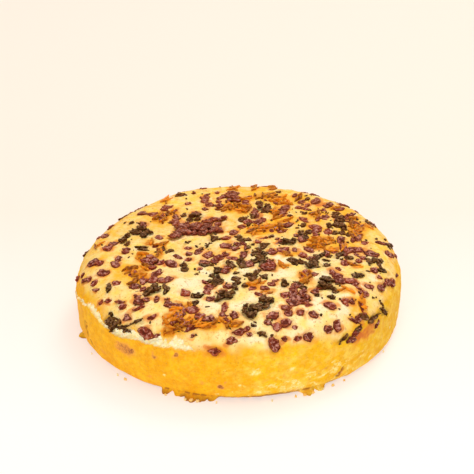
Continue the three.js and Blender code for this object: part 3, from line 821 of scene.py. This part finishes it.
    rough = arithmetic(tree, "SUBTRACT", 0.68, times(tree, syrup, 0.36))
    bump = node(tree, "ShaderNodeBump", {"Strength": 0.55, "Distance": 0.35 * MM,
                                         "Height": pores.outputs["Height"]})
    finish_material(tree, {"Base Color": colour, "Roughness": rough, "Normal": bump.outputs[0],
                           "Subsurface Weight": 0.15, "Subsurface Radius": (1.0, 0.5, 0.15),
                           "Subsurface Scale": 1.5 * MM, "Specular IOR Level": 0.12})
    return made


cake_mesh.materials.append(crust_material())
cake = added("cake_body", cake_mesh)
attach(cake, "root")
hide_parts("cake")


# ------------------------------------------------------------------ chopped dried red berries
# Dried berries chopped to 3 to 6 mm and strewn over the batter before baking, so they sit
# half sunk in the top: plum-red, wrinkled, slightly sticky. Bits of a few shapes are turned,
# sized and tipped one by one along the heaps, then joined into one piece.

FULL_LEVELS = ((0.22, 1.0, 0.0), (0.44, 0.97, 0.1), (0.64, 0.9, 0.3), (0.8, 0.8, 0.6), (0.93, 0.55, 0.9),
               (1.0, 0.1, 1.0), (0.9, -0.5, 1.0))


def bit_shape(name, seed, around, corners, soften, dents, levels=FULL_LEVELS, least=0.45):
    """A flat chopped bit in a box 1 by 1 by 1.6: a cornered outline of some points, softened a
    number of times, under a low dented top. Its "edge" runs from 0 in the middle to 1. Each
    level is a share of the outline, its height and its edge."""
    chance = np.random.default_rng(seed)
    turns = np.sort((np.arange(corners) + chance.uniform(-0.32, 0.32, corners)) * 2 * math.pi / corners)
    reach = chance.uniform(least, 1.0, corners)
    corner = np.stack([reach * np.cos(turns), reach * np.sin(turns)], axis=-1)
    corner = np.vstack([corner, corner[:1]])
    walked = np.concatenate([[0], np.cumsum(np.linalg.norm(np.diff(corner, axis=0), axis=1))])
    steps = np.arange(around) * walked[-1] / around
    outline = np.stack([np.interp(steps, walked, corner[:, k]) for k in (0, 1)], axis=-1)
    for _ in range(soften):
        outline = 0.5 * outline + 0.25 * (np.roll(outline, 1, axis=0) + np.roll(outline, -1, axis=0))
    outline -= (outline.max(axis=0) + outline.min(axis=0)) / 2
    outline /= outline.max(axis=0) - outline.min(axis=0)
    spots, edges = [(0.0, 0.0, 1.0)], [0.0]
    for share, high, edge in levels:
        ring = np.column_stack([outline * share, np.full(around, high)])
        ring[:, 2] += dents * lumps(ring + seed, 0.45, seed) * (1 if high > 0 else 0)
        spots += ring.tolist()
        edges += [edge] * around
    spots.append((0.0, 0.0, -0.6))
    edges.append(1.0)
    faces = [(0, 1 + i, 1 + (i + 1) % around) for i in range(around)]
    for k in range(len(levels) - 1):
        low, high = 1 + k * around, 1 + (k + 1) * around
        faces += [(low + i, high + i, high + (i + 1) % around, low + (i + 1) % around) for i in range(around)]
    last = 1 + (len(levels) - 1) * around
    faces += [(len(spots) - 1, last + (i + 1) % around, last + i) for i in range(around)]
    mesh = bpy.data.meshes.new(name)
    mesh.from_pydata(spots, [], faces)
    mesh.shade_smooth()
    paint(mesh, "edge", edges)
    return bpy.data.objects.new(name, mesh)


def shape_collection(name, shapes):
    made = bpy.data.collections.new(name)
    for shape in shapes:
        made.objects.link(shape)
    return made


def scatter_tree():
    """Puts one of a collection's shapes on each point, facing the way the crust faces, and gives
    its surface ragged edges and folds. The points carry facing, turn, lean and size."""
    tree, given = new_group("strew bits", "GeometryNodeTree", {
        "Geometry": "Geometry", "Shapes": "Collection", "Shape count": "Int", "Tilt": "Float",
        "Size spread": "Float", "Ragged": "Float", "Ragged size": "Float", "Fold depth": "Float",
        "Fold size": "Float", "Seed": "Int", "Material": "Material"}, {"Geometry": "Geometry"})

    def chance(kind, low, high, step):
        seed = arithmetic(tree, "ADD", given["Seed"], float(step))
        least, most, out = {"FLOAT_VECTOR": (0, 1, 0), "FLOAT": (2, 3, 1), "INT": (4, 5, 2)}[kind]
        made = node(tree, "FunctionNodeRandomValue", data_type=kind)
        for socket, value in ((least, low), (most, high)):
            if isinstance(value, bpy.types.NodeSocket):
                tree.links.new(value, made.inputs[socket])
            else:
                made.inputs[socket].default_value = value
        tree.links.new(seed, made.inputs["Seed"])
        return made.outputs[out]

    def stored(name, kind):
        made = node(tree, "GeometryNodeInputNamedAttribute", {"Name": name}, data_type=kind)
        return made.outputs["Attribute"]

    def turned_by(rotation, more):
        made = node(tree, "FunctionNodeRotateRotation", {"Rotation": rotation, "Rotate By": more},
                    rotation_space="LOCAL")
        return made.outputs[0]

    shapes = node(tree, "GeometryNodeCollectionInfo", {"Collection": given["Shapes"],
                                                       "Separate Children": True,
                                                       "Reset Children": True})
    which = chance("INT", 0, arithmetic(tree, "SUBTRACT", given["Shape count"], 1.0), 1)
    upright = node(tree, "FunctionNodeAlignRotationToVector",
                   {"Vector": stored("facing", "FLOAT_VECTOR")}, axis="Z").outputs[0]
    spin = node(tree, "FunctionNodeAxisAngleToRotation",
                {"Axis": (0, 0, 1), "Angle": stored("turn", "FLOAT")}).outputs[0]
    tilt = times(tree, given["Tilt"], stored("lean", "FLOAT"))
    lean = scaled(tree, chance("FLOAT_VECTOR", (-1, -1, -0.3), (1, 1, 0.3), 2), tilt)
    lean = node(tree, "FunctionNodeEulerToRotation", {"Euler": lean}).outputs[0]
    leaned = turned_by(turned_by(upright, spin), lean)
    grow = times(tree, chance("FLOAT", -1.0, 1.0, 3), given["Size spread"])
    size = scaled(tree, stored("size", "FLOAT_VECTOR"), arithmetic(tree, "ADD", grow, 1.0))
    placed = node(tree, "GeometryNodeInstanceOnPoints", {
        "Points": given["Geometry"], "Instance": shapes.outputs[0], "Pick Instance": True,
        "Instance Index": which, "Rotation": leaned, "Scale": size})
    toned = node(tree, "GeometryNodeStoreNamedAttribute", {
        "Geometry": placed.outputs[0], "Name": "tone", "Value": chance("FLOAT", 0.0, 1.0, 4),
    }, data_type="FLOAT", domain="INSTANCE")
    real = node(tree, "GeometryNodeRealizeInstances", {"Geometry": toned.outputs[0]})
    spots = node(tree, "GeometryNodeInputPosition").outputs[0]
    scale = arithmetic(tree, "DIVIDE", 1.0, given["Ragged size"])
    rough = node(tree, "ShaderNodeTexNoise", {"Vector": spots, "Scale": scale, "Detail": 2.0})
    rough = vectors(tree, "SUBTRACT", rough.outputs["Color"], (0.5, 0.5, 0.5))
    rough = vectors(tree, "MULTIPLY", rough, (1.0, 1.0, 0.4))
    rough = scaled(tree, rough, given["Ragged"])
    scale = arithmetic(tree, "DIVIDE", 1.0, given["Fold size"])
    folds = node(tree, "ShaderNodeTexNoise", {"Vector": spots, "Scale": scale, "Detail": 1.0,
                                              "Distortion": 0.4})
    folds = arithmetic(tree, "ABSOLUTE", arithmetic(tree, "SUBTRACT", folds.outputs["Fac"], 0.5))
    ridge = node(tree, "ShaderNodeMapRange", {"Value": folds, "From Min": 0.0, "From Max": 0.16,
                                              "To Min": 1.0, "To Max": 0.0},
                 interpolation_type="SMOOTHSTEP").outputs["Result"]
    marked = node(tree, "GeometryNodeStoreNamedAttribute",
                  {"Geometry": real.outputs[0], "Name": "fold", "Value": ridge},
                  data_type="FLOAT", domain="POINT")
    raised = times(tree, arithmetic(tree, "SUBTRACT", ridge, 0.45), given["Fold depth"])
    creased = scaled(tree, node(tree, "GeometryNodeInputNormal").outputs[0], raised)
    moved = vectors(tree, "ADD", rough, creased)
    torn = node(tree, "GeometryNodeSetPosition", {"Geometry": marked.outputs[0], "Offset": moved})
    dressed = node(tree, "GeometryNodeSetMaterial", {"Geometry": torn.outputs[0],
                                                     "Material": given["Material"]})
    node(tree, "NodeGroupOutput", {"Geometry": dressed.outputs[0]})
    return tree


strew_bits = scatter_tree()


def strewn(name, bits, shapes, material, thick, lift, pile, settings):
    """Makes one mesh piece out of bits. Each gets a shape, and a thickness and a lift off the
    crust from a least to a most; those in a pile are lifted by up to pile, and tipped further.
    The settings go to the strewing tree's inputs of the same names. All sizes are in metres."""
    chance = np.random.default_rng(settings["Seed"])
    count = len(bits["turn"])
    size = np.column_stack([bits["size"], chance.uniform(*thick, count)])
    raised = chance.uniform(*lift, count) + bits["piled"] * chance.uniform(0, pile, count)
    place = bits["place"] + bits["facing"] * raised[:, None]
    seeds = bpy.data.meshes.new(name + "_places")
    seeds.from_pydata(place.tolist(), [], [])
    for key, kind, values in (("facing", "FLOAT_VECTOR", bits["facing"]), ("size", "FLOAT_VECTOR", size),
                              ("turn", "FLOAT", bits["turn"]), ("lean", "FLOAT", 1 + 1.5 * bits["piled"])):
        layer = seeds.attributes.new(key, kind, "POINT")
        layer.data.foreach_set("vector" if kind == "FLOAT_VECTOR" else "value", values.ravel())
    holder = added(name + "_places", seeds)
    for shape in shapes.objects:
        shape.data.materials.append(material)
    modifier = holder.modifiers.new("strew", "NODES")
    modifier.node_group = strew_bits
    settings = dict(settings, Shapes=shapes, Material=material)
    settings["Shape count"] = len(shapes.objects)
    for item in strew_bits.interface.items_tree:
        if item.in_out == "INPUT" and item.name in settings:
            modifier[item.identifier] = settings[item.name]
    bpy.context.view_layer.update()
    mesh = bpy.data.meshes.new_from_object(holder.evaluated_get(bpy.context.evaluated_depsgraph_get()))
    mesh.name = name
    for key in ("facing", "size", "turn", "lean"):
        if key in mesh.attributes:
            mesh.attributes.remove(mesh.attributes[key])
    piece = added(name, mesh)
    bpy.data.objects.remove(holder)
    for shape in list(shapes.objects):
        bpy.data.objects.remove(shape)
    bpy.data.collections.remove(shapes)
    return piece


def fruit_gloss_group():
    """Sticky dried fruit: a mask of damp spots, and the height of its fine wrinkles."""
    tree, given = new_group("sticky wrinkles", "ShaderNodeTree",
                            {"Places": "Vector", "Wrinkle size": "Float"},
                            {"Damp": "Float", "Height": "Float"})
    scale = arithmetic(tree, "DIVIDE", 1.0, given["Wrinkle size"])
    folds = node(tree, "ShaderNodeTexNoise", {"Vector": given["Places"], "Scale": scale, "Detail": 3.0,
                                              "Roughness": 0.6, "Distortion": 0.6})
    ridge = arithmetic(tree, "ABSOLUTE", arithmetic(tree, "SUBTRACT", folds.outputs["Fac"], 0.5))
    height = graded(tree, ridge, 0.0, 0.12)
    damp = graded(tree, cloud(tree, given["Places"], 1.8, 2.0), 0.45, 0.6)
    node(tree, "NodeGroupOutput", {"Damp": damp, "Height": height})
    return tree


sticky_wrinkles = fruit_gloss_group()


def fruit_material(name, deep, light, painted_highlight, rim, wrinkle, rough):
    """Dried fruit: each bit has its own tone, with painted shade between its folds and down its
    sides where it meets the crust, a painted highlight along the folds and a lighter upper rim
    painted as light glowing through the thin cut edge. Toward the back it is mixed toward amber."""
    made, tree = material_of(name)
    places = mm_places(tree)
    folds = node(tree, "ShaderNodeGroup", {"Places": places, "Wrinkle size": wrinkle},
                 node_tree=sticky_wrinkles)
    colour = mixed(tree, painted(tree, "tone"), deep, light)
    patch = graded(tree, cloud(tree, places, 1.5, 3.0, 0.6), 0.42, 0.56)
    crest = graded(tree, painted(tree, "fold"), 0.4, 0.85)
    inner = graded(tree, painted(tree, "edge"), 0.95, 0.6)
    crest = times(tree, times(tree, patch, inner), crest)
    # Painted shade in the valleys between the folds.
    colour = mixed(tree, graded(tree, painted(tree, "fold"), 0.0, 0.5, 0.95, 0.0), colour, deep)
    # Painted highlight along the crests of the folds.
    colour = mixed(tree, crest, colour, painted_highlight)
    # A lighter band on the upper bevel: painted glow of light through the thin cut edge.
    bevel = times(tree, graded(tree, painted(tree, "edge"), 0.25, 0.5),
                       graded(tree, painted(tree, "edge"), 0.85, 0.7))
    bevel = times(tree, bevel, graded(tree, cloud(tree, places, 1.6, 2.0), 0.42, 0.58, 0.0, 0.7))
    colour = mixed(tree, bevel, colour, rim)
    # Painted shade down the lower sides, where the bit meets the crust.
    colour = mixed(tree, graded(tree, painted(tree, "edge"), 0.8, 0.97, 0.0, 0.45), colour, deep)
    # Painted shade in the valleys of the fine wrinkles.
    colour = mixed(tree, graded(tree, folds.outputs["Height"], 0.0, 0.5, 0.6, 0.0), colour, deep)
    across = node(tree, "ShaderNodeSeparateXYZ", {"Vector": places})
    colour = mixed(tree, graded(tree, across.outputs["Y"], -10.0, 55.0, 0.0, 0.28), colour,
                   (0.34, 0.068, 0.004, 1))
    finish = graded(tree, folds.outputs["Damp"], 0.0, 1.0, rough + 0.15, rough - 0.1)
    bump = node(tree, "ShaderNodeBump", {"Strength": 0.5, "Distance": 0.2 * MM,
                                         "Height": folds.outputs["Height"]})
    finish_material(tree, {"Base Color": colour, "Roughness": finish, "Normal": bump.outputs[0],
                           "Specular IOR Level": 0.2, "Specular Tint": (1.0, 0.58, 0.30, 1)})
    return made


red_shapes = shape_collection("berry shapes", [
    bit_shape(f"berry_bit_{k}", 120 + k, 22, 4 + k % 4, k % 2, 0.3, least=0.55) for k in range(16)])
red_fruit = fruit_material("dried_red_berry", (0.115, 0.015, 0.009, 1), (0.36, 0.046, 0.021, 1),
                           (0.72, 0.34, 0.26, 1), (0.55, 0.13, 0.03, 1), 0.9, 0.28)
berries = strewn("red_berry_bits", red_bits, red_shapes, red_fruit,
                 thick=(0.45 * MM, 0.85 * MM), lift=(-0.25 * MM, 0.0), pile=1.3 * MM,
                 settings={"Tilt": 0.12, "Size spread": 0.2, "Ragged": 3.0 * MM, "Ragged size": 1.6 * MM,
                           "Fold depth": 0.5 * MM, "Fold size": 2.6 * MM, "Seed": 3})
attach(berries, "root")


# --------------------------------------------------------------------- chopped dark dried fruit
# Raisins and currants, chopped like the berries and baked in with them: a very dark brown,
# paler where the skin is dry, with more ragged edges than the berries have.

dark_shapes = shape_collection("raisin shapes", [
    bit_shape(f"raisin_bit_{k}", 200 + k, 22, 4 + k % 5, 0, 0.3, least=0.3) for k in range(16)])
dark_fruit = fruit_material("dried_dark_fruit", (0.036, 0.011, 0.002, 1), (0.175, 0.050, 0.006, 1),
                            (0.37, 0.20, 0.10, 1), (0.30, 0.14, 0.02, 1), 0.8, 0.28)
raisins = strewn("dark_fruit_bits", dark_bits, dark_shapes, dark_fruit,
                 thick=(0.45 * MM, 0.85 * MM), lift=(-0.25 * MM, 0.1 * MM), pile=1.2 * MM,
                 settings={"Tilt": 0.14, "Size spread": 0.14, "Ragged": 4.6 * MM, "Ragged size": 1.4 * MM,
                           "Fold depth": 0.45 * MM, "Fold size": 2.3 * MM, "Seed": 7})
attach(raisins, "root")


# --------------------------------------------------------------------------- fruit crumbs
# Crumbs 1 to 2 mm long that broke off both kinds of fruit when they were chopped, and fell with
# them near the heaps: dark brown, some nearly black.

SPECKS_WITHIN = 84  # mm from the middle, clear of the rim


def specks(heaps, count, seed):
    """Small broken bits of fruit that fell near the heaps, in the same terms as the heaps."""
    chance = np.random.default_rng(seed)
    rows = []
    for _ in range(count):
        x, y, length, width, _turn = heaps[chance.integers(len(heaps))]
        way = chance.uniform(0, 2 * math.pi)
        far = 0.5 * math.sqrt(length * width) + chance.uniform(0.6, 5)
        x, y = x + far * math.cos(way), y + far * math.sin(way)
        if math.hypot(x, y) < SPECKS_WITHIN:
            rows.append((x, y, chance.uniform(0.9, 2.2), chance.uniform(0.7, 1.2), chance.uniform(0, 180)))
    return tuple(rows)


speck_bits = chopped(specks(RED_HEAPS, 130, seed=12) + specks(DARK_HEAPS, 150, seed=24), 25)
speck_shapes = shape_collection("speck shapes", [
    bit_shape(f"fruit_speck_{k}", 500 + k, 6, 3 + k % 3, 0, 0.2, levels=((0.8, 0.9, 0.3), (1.0, 0.0, 1.0)))
    for k in range(8)])
speck_fruit = fruit_material("broken_fruit", (0.03, 0.014, 0.004, 1), (0.17, 0.045, 0.012, 1),
                             (0.20, 0.10, 0.05, 1), (0.25, 0.10, 0.02, 1), 0.6, 0.35)
crumbled = strewn("fruit_specks", speck_bits, speck_shapes, speck_fruit,
                  thick=(0.5 * MM, 0.9 * MM), lift=(-0.2 * MM, 0.1 * MM), pile=0.0,
                  settings={"Tilt": 0.3, "Size spread": 0.3, "Ragged": 0.5 * MM, "Ragged size": 0.8 * MM,
                            "Fold depth": 0.0, "Fold size": 1 * MM, "Seed": 5})
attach(crumbled, "root")


# ----------------------------------------------------------------------- candied orange peel
# Thin shreds of peel cooked in syrup, strewn in loose tangles: amber, translucent and shiny,
# sunk in the stain that their syrup baked into the crust.

def shred_shape(name, seed):
    """A thin curved strip about 1 long: a flattened tube of a few dozen faces, pointed ends."""
    chance = np.random.default_rng(seed)
    sides, steps = 6, 9
    bend, wave = chance.uniform(-1.4, 1.4), chance.uniform(-0.5, 0.5)
    form = bmesh.new()
    rows = []
    for i in range(steps):
        part = i / (steps - 1)
        course = bend * (part - 0.5) + wave * math.sin(2 * math.pi * part)
        sway = 0.12 * math.sin(math.pi * part) * bend + 0.08 * wave * math.sin(6 * part)
        middle = Vector((part - 0.5, sway, 0.05 * math.sin(5 * part + seed)))
        wide = 0.5 * (0.25 + 0.75 * math.sin(math.pi * min(max(part, 0.06), 0.94)) ** 0.6)
        wide *= 1 + chance.uniform(-0.2, 0.2)
        side = Vector((-math.sin(course), math.cos(course), 0))
        ring = []
        for k in range(sides):
            spin = 2 * math.pi * k / sides
            spot = middle + side * (wide * math.cos(spin)) + Vector((0, 0, 0.5 * math.sin(spin)))
            ring.append(form.verts.new(spot))
        rows.append(ring)
    for low, high in zip(rows, rows[1:]):
        for k in range(sides):
            form.faces.new((low[k], low[(k + 1) % sides], high[(k + 1) % sides], high[k]))
    form.faces.new(rows[0][::-1])
    form.faces.new(rows[-1])
    bmesh.ops.recalc_face_normals(form, faces=form.faces)
    mesh = bpy.data.meshes.new(name)
    form.to_mesh(mesh)
    form.free()
    mesh.shade_smooth()
    return bpy.data.objects.new(name, mesh)


def tangled(patches, shreds_per_mm2, seed):
    """Shreds strewn over patches: more where a patch is bigger, each turned its own way."""
    chance = np.random.default_rng(seed)
    rows = []
    for x, y, length, width, turn in patches:
        for _ in range(max(2, round(length * width * shreds_per_mm2))):
            u, v = chance.uniform(-0.42, 0.42, 2) * (length, width)
            way = math.radians(turn)
            rows.append((x + u * math.cos(way) - v * math.sin(way), y + u * math.sin(way) + v * math.cos(way),
                         chance.uniform(3.5, 7.5), chance.uniform(0.9, 2.3), turn + chance.normal(0, 45)))
    return rows


peel_shreds = chopped(tangled(PEEL_PATCHES, 0.115, seed=17), 18)
peel_shapes = shape_collection("peel shapes", [
    *(shred_shape(f"peel_shred_{k}", 300 + k) for k in range(7)),
    *(bit_shape(f"peel_chip_{k}", 320 + k, 16, 4 + k % 3, 0, 0.3, levels=FULL_LEVELS[1:]) for k in range(4))])


def peel_material():
    made, tree = material_of("candied_peel")
    places = mm_places(tree)
    haze = graded(tree, cloud(tree, places, 2.2, 3.0), 0.4, 0.65)
    colour = mixed(tree, painted(tree, "tone"), (0.14, 0.022, 0.002, 1), (0.95, 0.29, 0.006, 1))
    colour = mixed(tree, times(tree, haze, 0.45), colour, (0.92, 0.35, 0.015, 1))
    # Painted shade in the valleys between the peel's folds.
    colour = mixed(tree, graded(tree, painted(tree, "fold"), 0.0, 0.45, 0.4, 0.0), colour,
                   (0.20, 0.03, 0.002, 1))
    bump = node(tree, "ShaderNodeBump", {"Strength": 0.35, "Distance": 0.2 * MM,
                                         "Height": cloud(tree, places, 0.7, 2.0)})
    finish_material(tree, {"Base Color": colour, "Roughness": graded(tree, haze, 0, 1, 0.22, 0.38),
                           "Normal": bump.outputs[0], "Subsurface Weight": 0.3,
                           "Subsurface Radius": (1.0, 0.4, 0.05), "Subsurface Scale": 1.0 * MM,
                           "Specular IOR Level": 0.25, "Specular Tint": (1.0, 0.8, 0.55, 1)})
    return made


peel = strewn("candied_peel_shreds", peel_shreds, peel_shapes, peel_material(),
              thick=(0.8 * MM, 1.3 * MM), lift=(-0.1 * MM, 0.9 * MM), pile=0.0,
              settings={"Tilt": 0.18, "Size spread": 0.2, "Ragged": 1.3 * MM, "Ragged size": 1.6 * MM,
                        "Fold depth": 0.3 * MM, "Fold size": 2.6 * MM, "Seed": 9})
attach(peel, "root")


# ------------------------------------------------------------------------------ loose crumbs
# Crumbs of the sponge's own crust and crumb, left on the table round the foot where the cake
# was turned out: a few larger ones at the front, and small ones all round.

def crumb_rows(seed):
    """Crumbs as angle, height off the table and size in mm."""
    chance = np.random.default_rng(seed)
    rows = [(-106, 0.9, 2.6), (-104, 0.7, 2.2), (-108, 0.6, 1.8), (-69, 0.6, 2.0), (-66, 0.7, 1.7),
            (-72, 0.4, 1.3), (-131, 0.5, 1.5), (-115, 0.5, 1.4)]
    rows += [(chance.uniform(-180, 180), 0.35, chance.uniform(0.7, 1.3)) for _ in range(26)]
    return rows


crumb_angle, crumb_high, crumb_size = np.array(crumb_rows(41)).T
crumb_turn = np.radians(crumb_angle)
crumb_reach = TIN_RADIUS * outline(crumb_turn) + (0.4 + 0.6 * (crumb_size > 1.6)) * MM
foot_crumbs = {
    "place": np.stack([crumb_reach * np.cos(crumb_turn), crumb_reach * np.sin(crumb_turn),
                       crumb_high * MM], axis=-1),
    "facing": np.tile([0.0, 0.0, 1.0], (len(crumb_turn), 1)),
    "turn": crumb_turn * 3.1,
    "size": np.stack([crumb_size, crumb_size * 0.75], axis=-1) * MM,
    "piled": np.zeros(len(crumb_turn)),
}
crumb_shapes = shape_collection("crumb shapes", [
    bit_shape(f"crumb_{k}", 400 + k, 10, 5 + k % 3, 1, 0.3, levels=FULL_LEVELS[1::2]) for k in range(6)])


def crumb_material():
    made, tree = material_of("loose_crumb")
    places = mm_places(tree)
    colour = mixed(tree, painted(tree, "tone"), (0.95, 0.52, 0.08, 1), (1.0, 0.80, 0.42, 1))
    pores = node(tree, "ShaderNodeGroup", {"Places": places, "Pore size": 0.5, "Openness": 0.35},
                 node_tree=sponge_pores)
    # The pits darkened: painted shade in the pores.
    colour = mixed(tree, times(tree, pores.outputs["Pits"], 0.5), colour, (0.5, 0.22, 0.03, 1))
    bump = node(tree, "ShaderNodeBump", {"Strength": 0.7, "Distance": 0.3 * MM,
                                         "Height": pores.outputs["Height"]})
    rough = graded(tree, pores.outputs["Pits"], 0, 1, 0.75, 0.9)
    finish_material(tree, {"Base Color": colour, "Roughness": rough, "Normal": bump.outputs[0],
                           "Subsurface Weight": 0.2, "Subsurface Scale": 1 * MM})
    return made


crumbs = strewn("loose_crumbs", foot_crumbs, crumb_shapes, crumb_material(),
                thick=(0.8 * MM, 1.2 * MM), lift=(0.0, 0.05 * MM), pile=0.0,
                settings={"Tilt": 0.3, "Size spread": 0.2, "Ragged": 0.5 * MM, "Ragged size": 0.9 * MM,
                          "Fold depth": 0.0, "Fold size": 1 * MM, "Seed": 13})

# What would reach below the table is squeezed into its last tenth of a millimetre.
FLAT_BELOW = 0.1 * MM
spots = np.empty(len(crumbs.data.vertices) * 3)
crumbs.data.vertices.foreach_get("co", spots)
low = spots[2::3] < FLAT_BELOW
spots[2::3][low] = FLAT_BELOW * np.exp((spots[2::3][low] - FLAT_BELOW) / (0.3 * MM))
crumbs.data.vertices.foreach_set("co", spots)
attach(crumbs, "root")


# ------------------------------------------------------------------ table, light and camera
# A plain pale warm table, a bright even sky all round, soft square lights high at the back right
# and overhead that put the lights on the fruit, and a wide fill from the front.

FLOOR_SIZE = 6.0
floor_mesh = bpy.data.meshes.new("table_top")
half = FLOOR_SIZE / 2
corners = [(-half, -half, 0), (half, -half, 0), (half, half, 0), (-half, half, 0)]
floor_mesh.from_pydata(corners, [], [(0, 1, 2, 3)])
floor_material, floor_tree = material_of("pale_table")
floor_places = mm_places(floor_tree)
floor_far = node(floor_tree, "ShaderNodeSeparateXYZ", {0: floor_places}).outputs["Y"]
floor_colour = mixed(floor_tree, cloud(floor_tree, floor_places, 300, 2.0),
                     (0.52, 0.47, 0.45, 1), (0.53, 0.48, 0.46, 1))
floor_colour = mixed(floor_tree, graded(floor_tree, floor_far, -110, 120), floor_colour,
                     (0.50, 0.36, 0.265, 1))
finish_material(floor_tree, {"Base Color": floor_colour, "Roughness": 0.6,
                             "Emission Color": (1.0, 0.945, 0.905, 1), "Emission Strength": 0.53})
floor_mesh.materials.append(floor_material)
floor = added("table_top", floor_mesh)

world = bpy.data.worlds.new("studio")
world.use_nodes = True
sky = world.node_tree
aim = node(sky, "ShaderNodeSeparateXYZ", {0: node(sky, "ShaderNodeTexCoord").outputs["Generated"]})
sky_colour = mixed(sky, graded(sky, aim.outputs["Z"], 0.25, 0.8), (1.0, 0.88, 0.70, 1), (1.0, 0.98, 0.95, 1))
sky.links.new(sky_colour, sky.nodes["Background"].inputs["Color"])
sky.nodes["Background"].inputs["Strength"].default_value = 0.58
bpy.context.scene.world = world


def soft_light(name, place, size, share, colour):
    """A square light of some size, in metres, aimed at the cake. Its share is how bright it
    makes a white card that faces it at the middle of the cake."""
    lamp = bpy.data.lights.new(name, "AREA")
    lamp.size = size
    lamp.energy = share * math.pi ** 2 * Vector(place).length_squared
    lamp.color = colour
    holder = added(name, lamp)
    holder.location = place
    holder.rotation_euler = (Vector((0, 0, 0.02)) - Vector(place)).to_track_quat("-Z", "Y").to_euler()


soft_light("back_right", (0.45, 0.72, 1.2), 0.5, 0.27, (1.0, 0.98, 0.95))
soft_light("overhead", (0.2, 0.1, 1.6), 0.9, 0.27, (1.0, 0.99, 0.97))
soft_light("front_fill", (-0.3, -1.4, 0.7), 1.0, 0.35, (1.0, 0.97, 0.93))

LENS, SENSOR = 93.8, 36.0
CAMERA_DISTANCE = 0.7758
CAMERA_ANGLE = math.radians(28.78)
CAMERA_ROLL = math.radians(-0.55)
AIM = Vector((-1.4 * MM, 84.6 * MM, 0))
camera_data = bpy.data.cameras.new("camera")
camera_data.lens = LENS
camera_data.sensor_width = SENSOR
camera_data.clip_start = 0.01
camera = added("camera", camera_data)
camera.location = AIM + CAMERA_DISTANCE * Vector((0, -math.cos(CAMERA_ANGLE), math.sin(CAMERA_ANGLE)))
level = Matrix.Rotation(math.pi / 2 - CAMERA_ANGLE, 3, "X")
camera.rotation_euler = (level @ Matrix.Rotation(CAMERA_ROLL, 3, "Z")).to_euler()
bpy.context.scene.camera = camera
bpy.context.scene.view_settings.view_transform = "Standard"
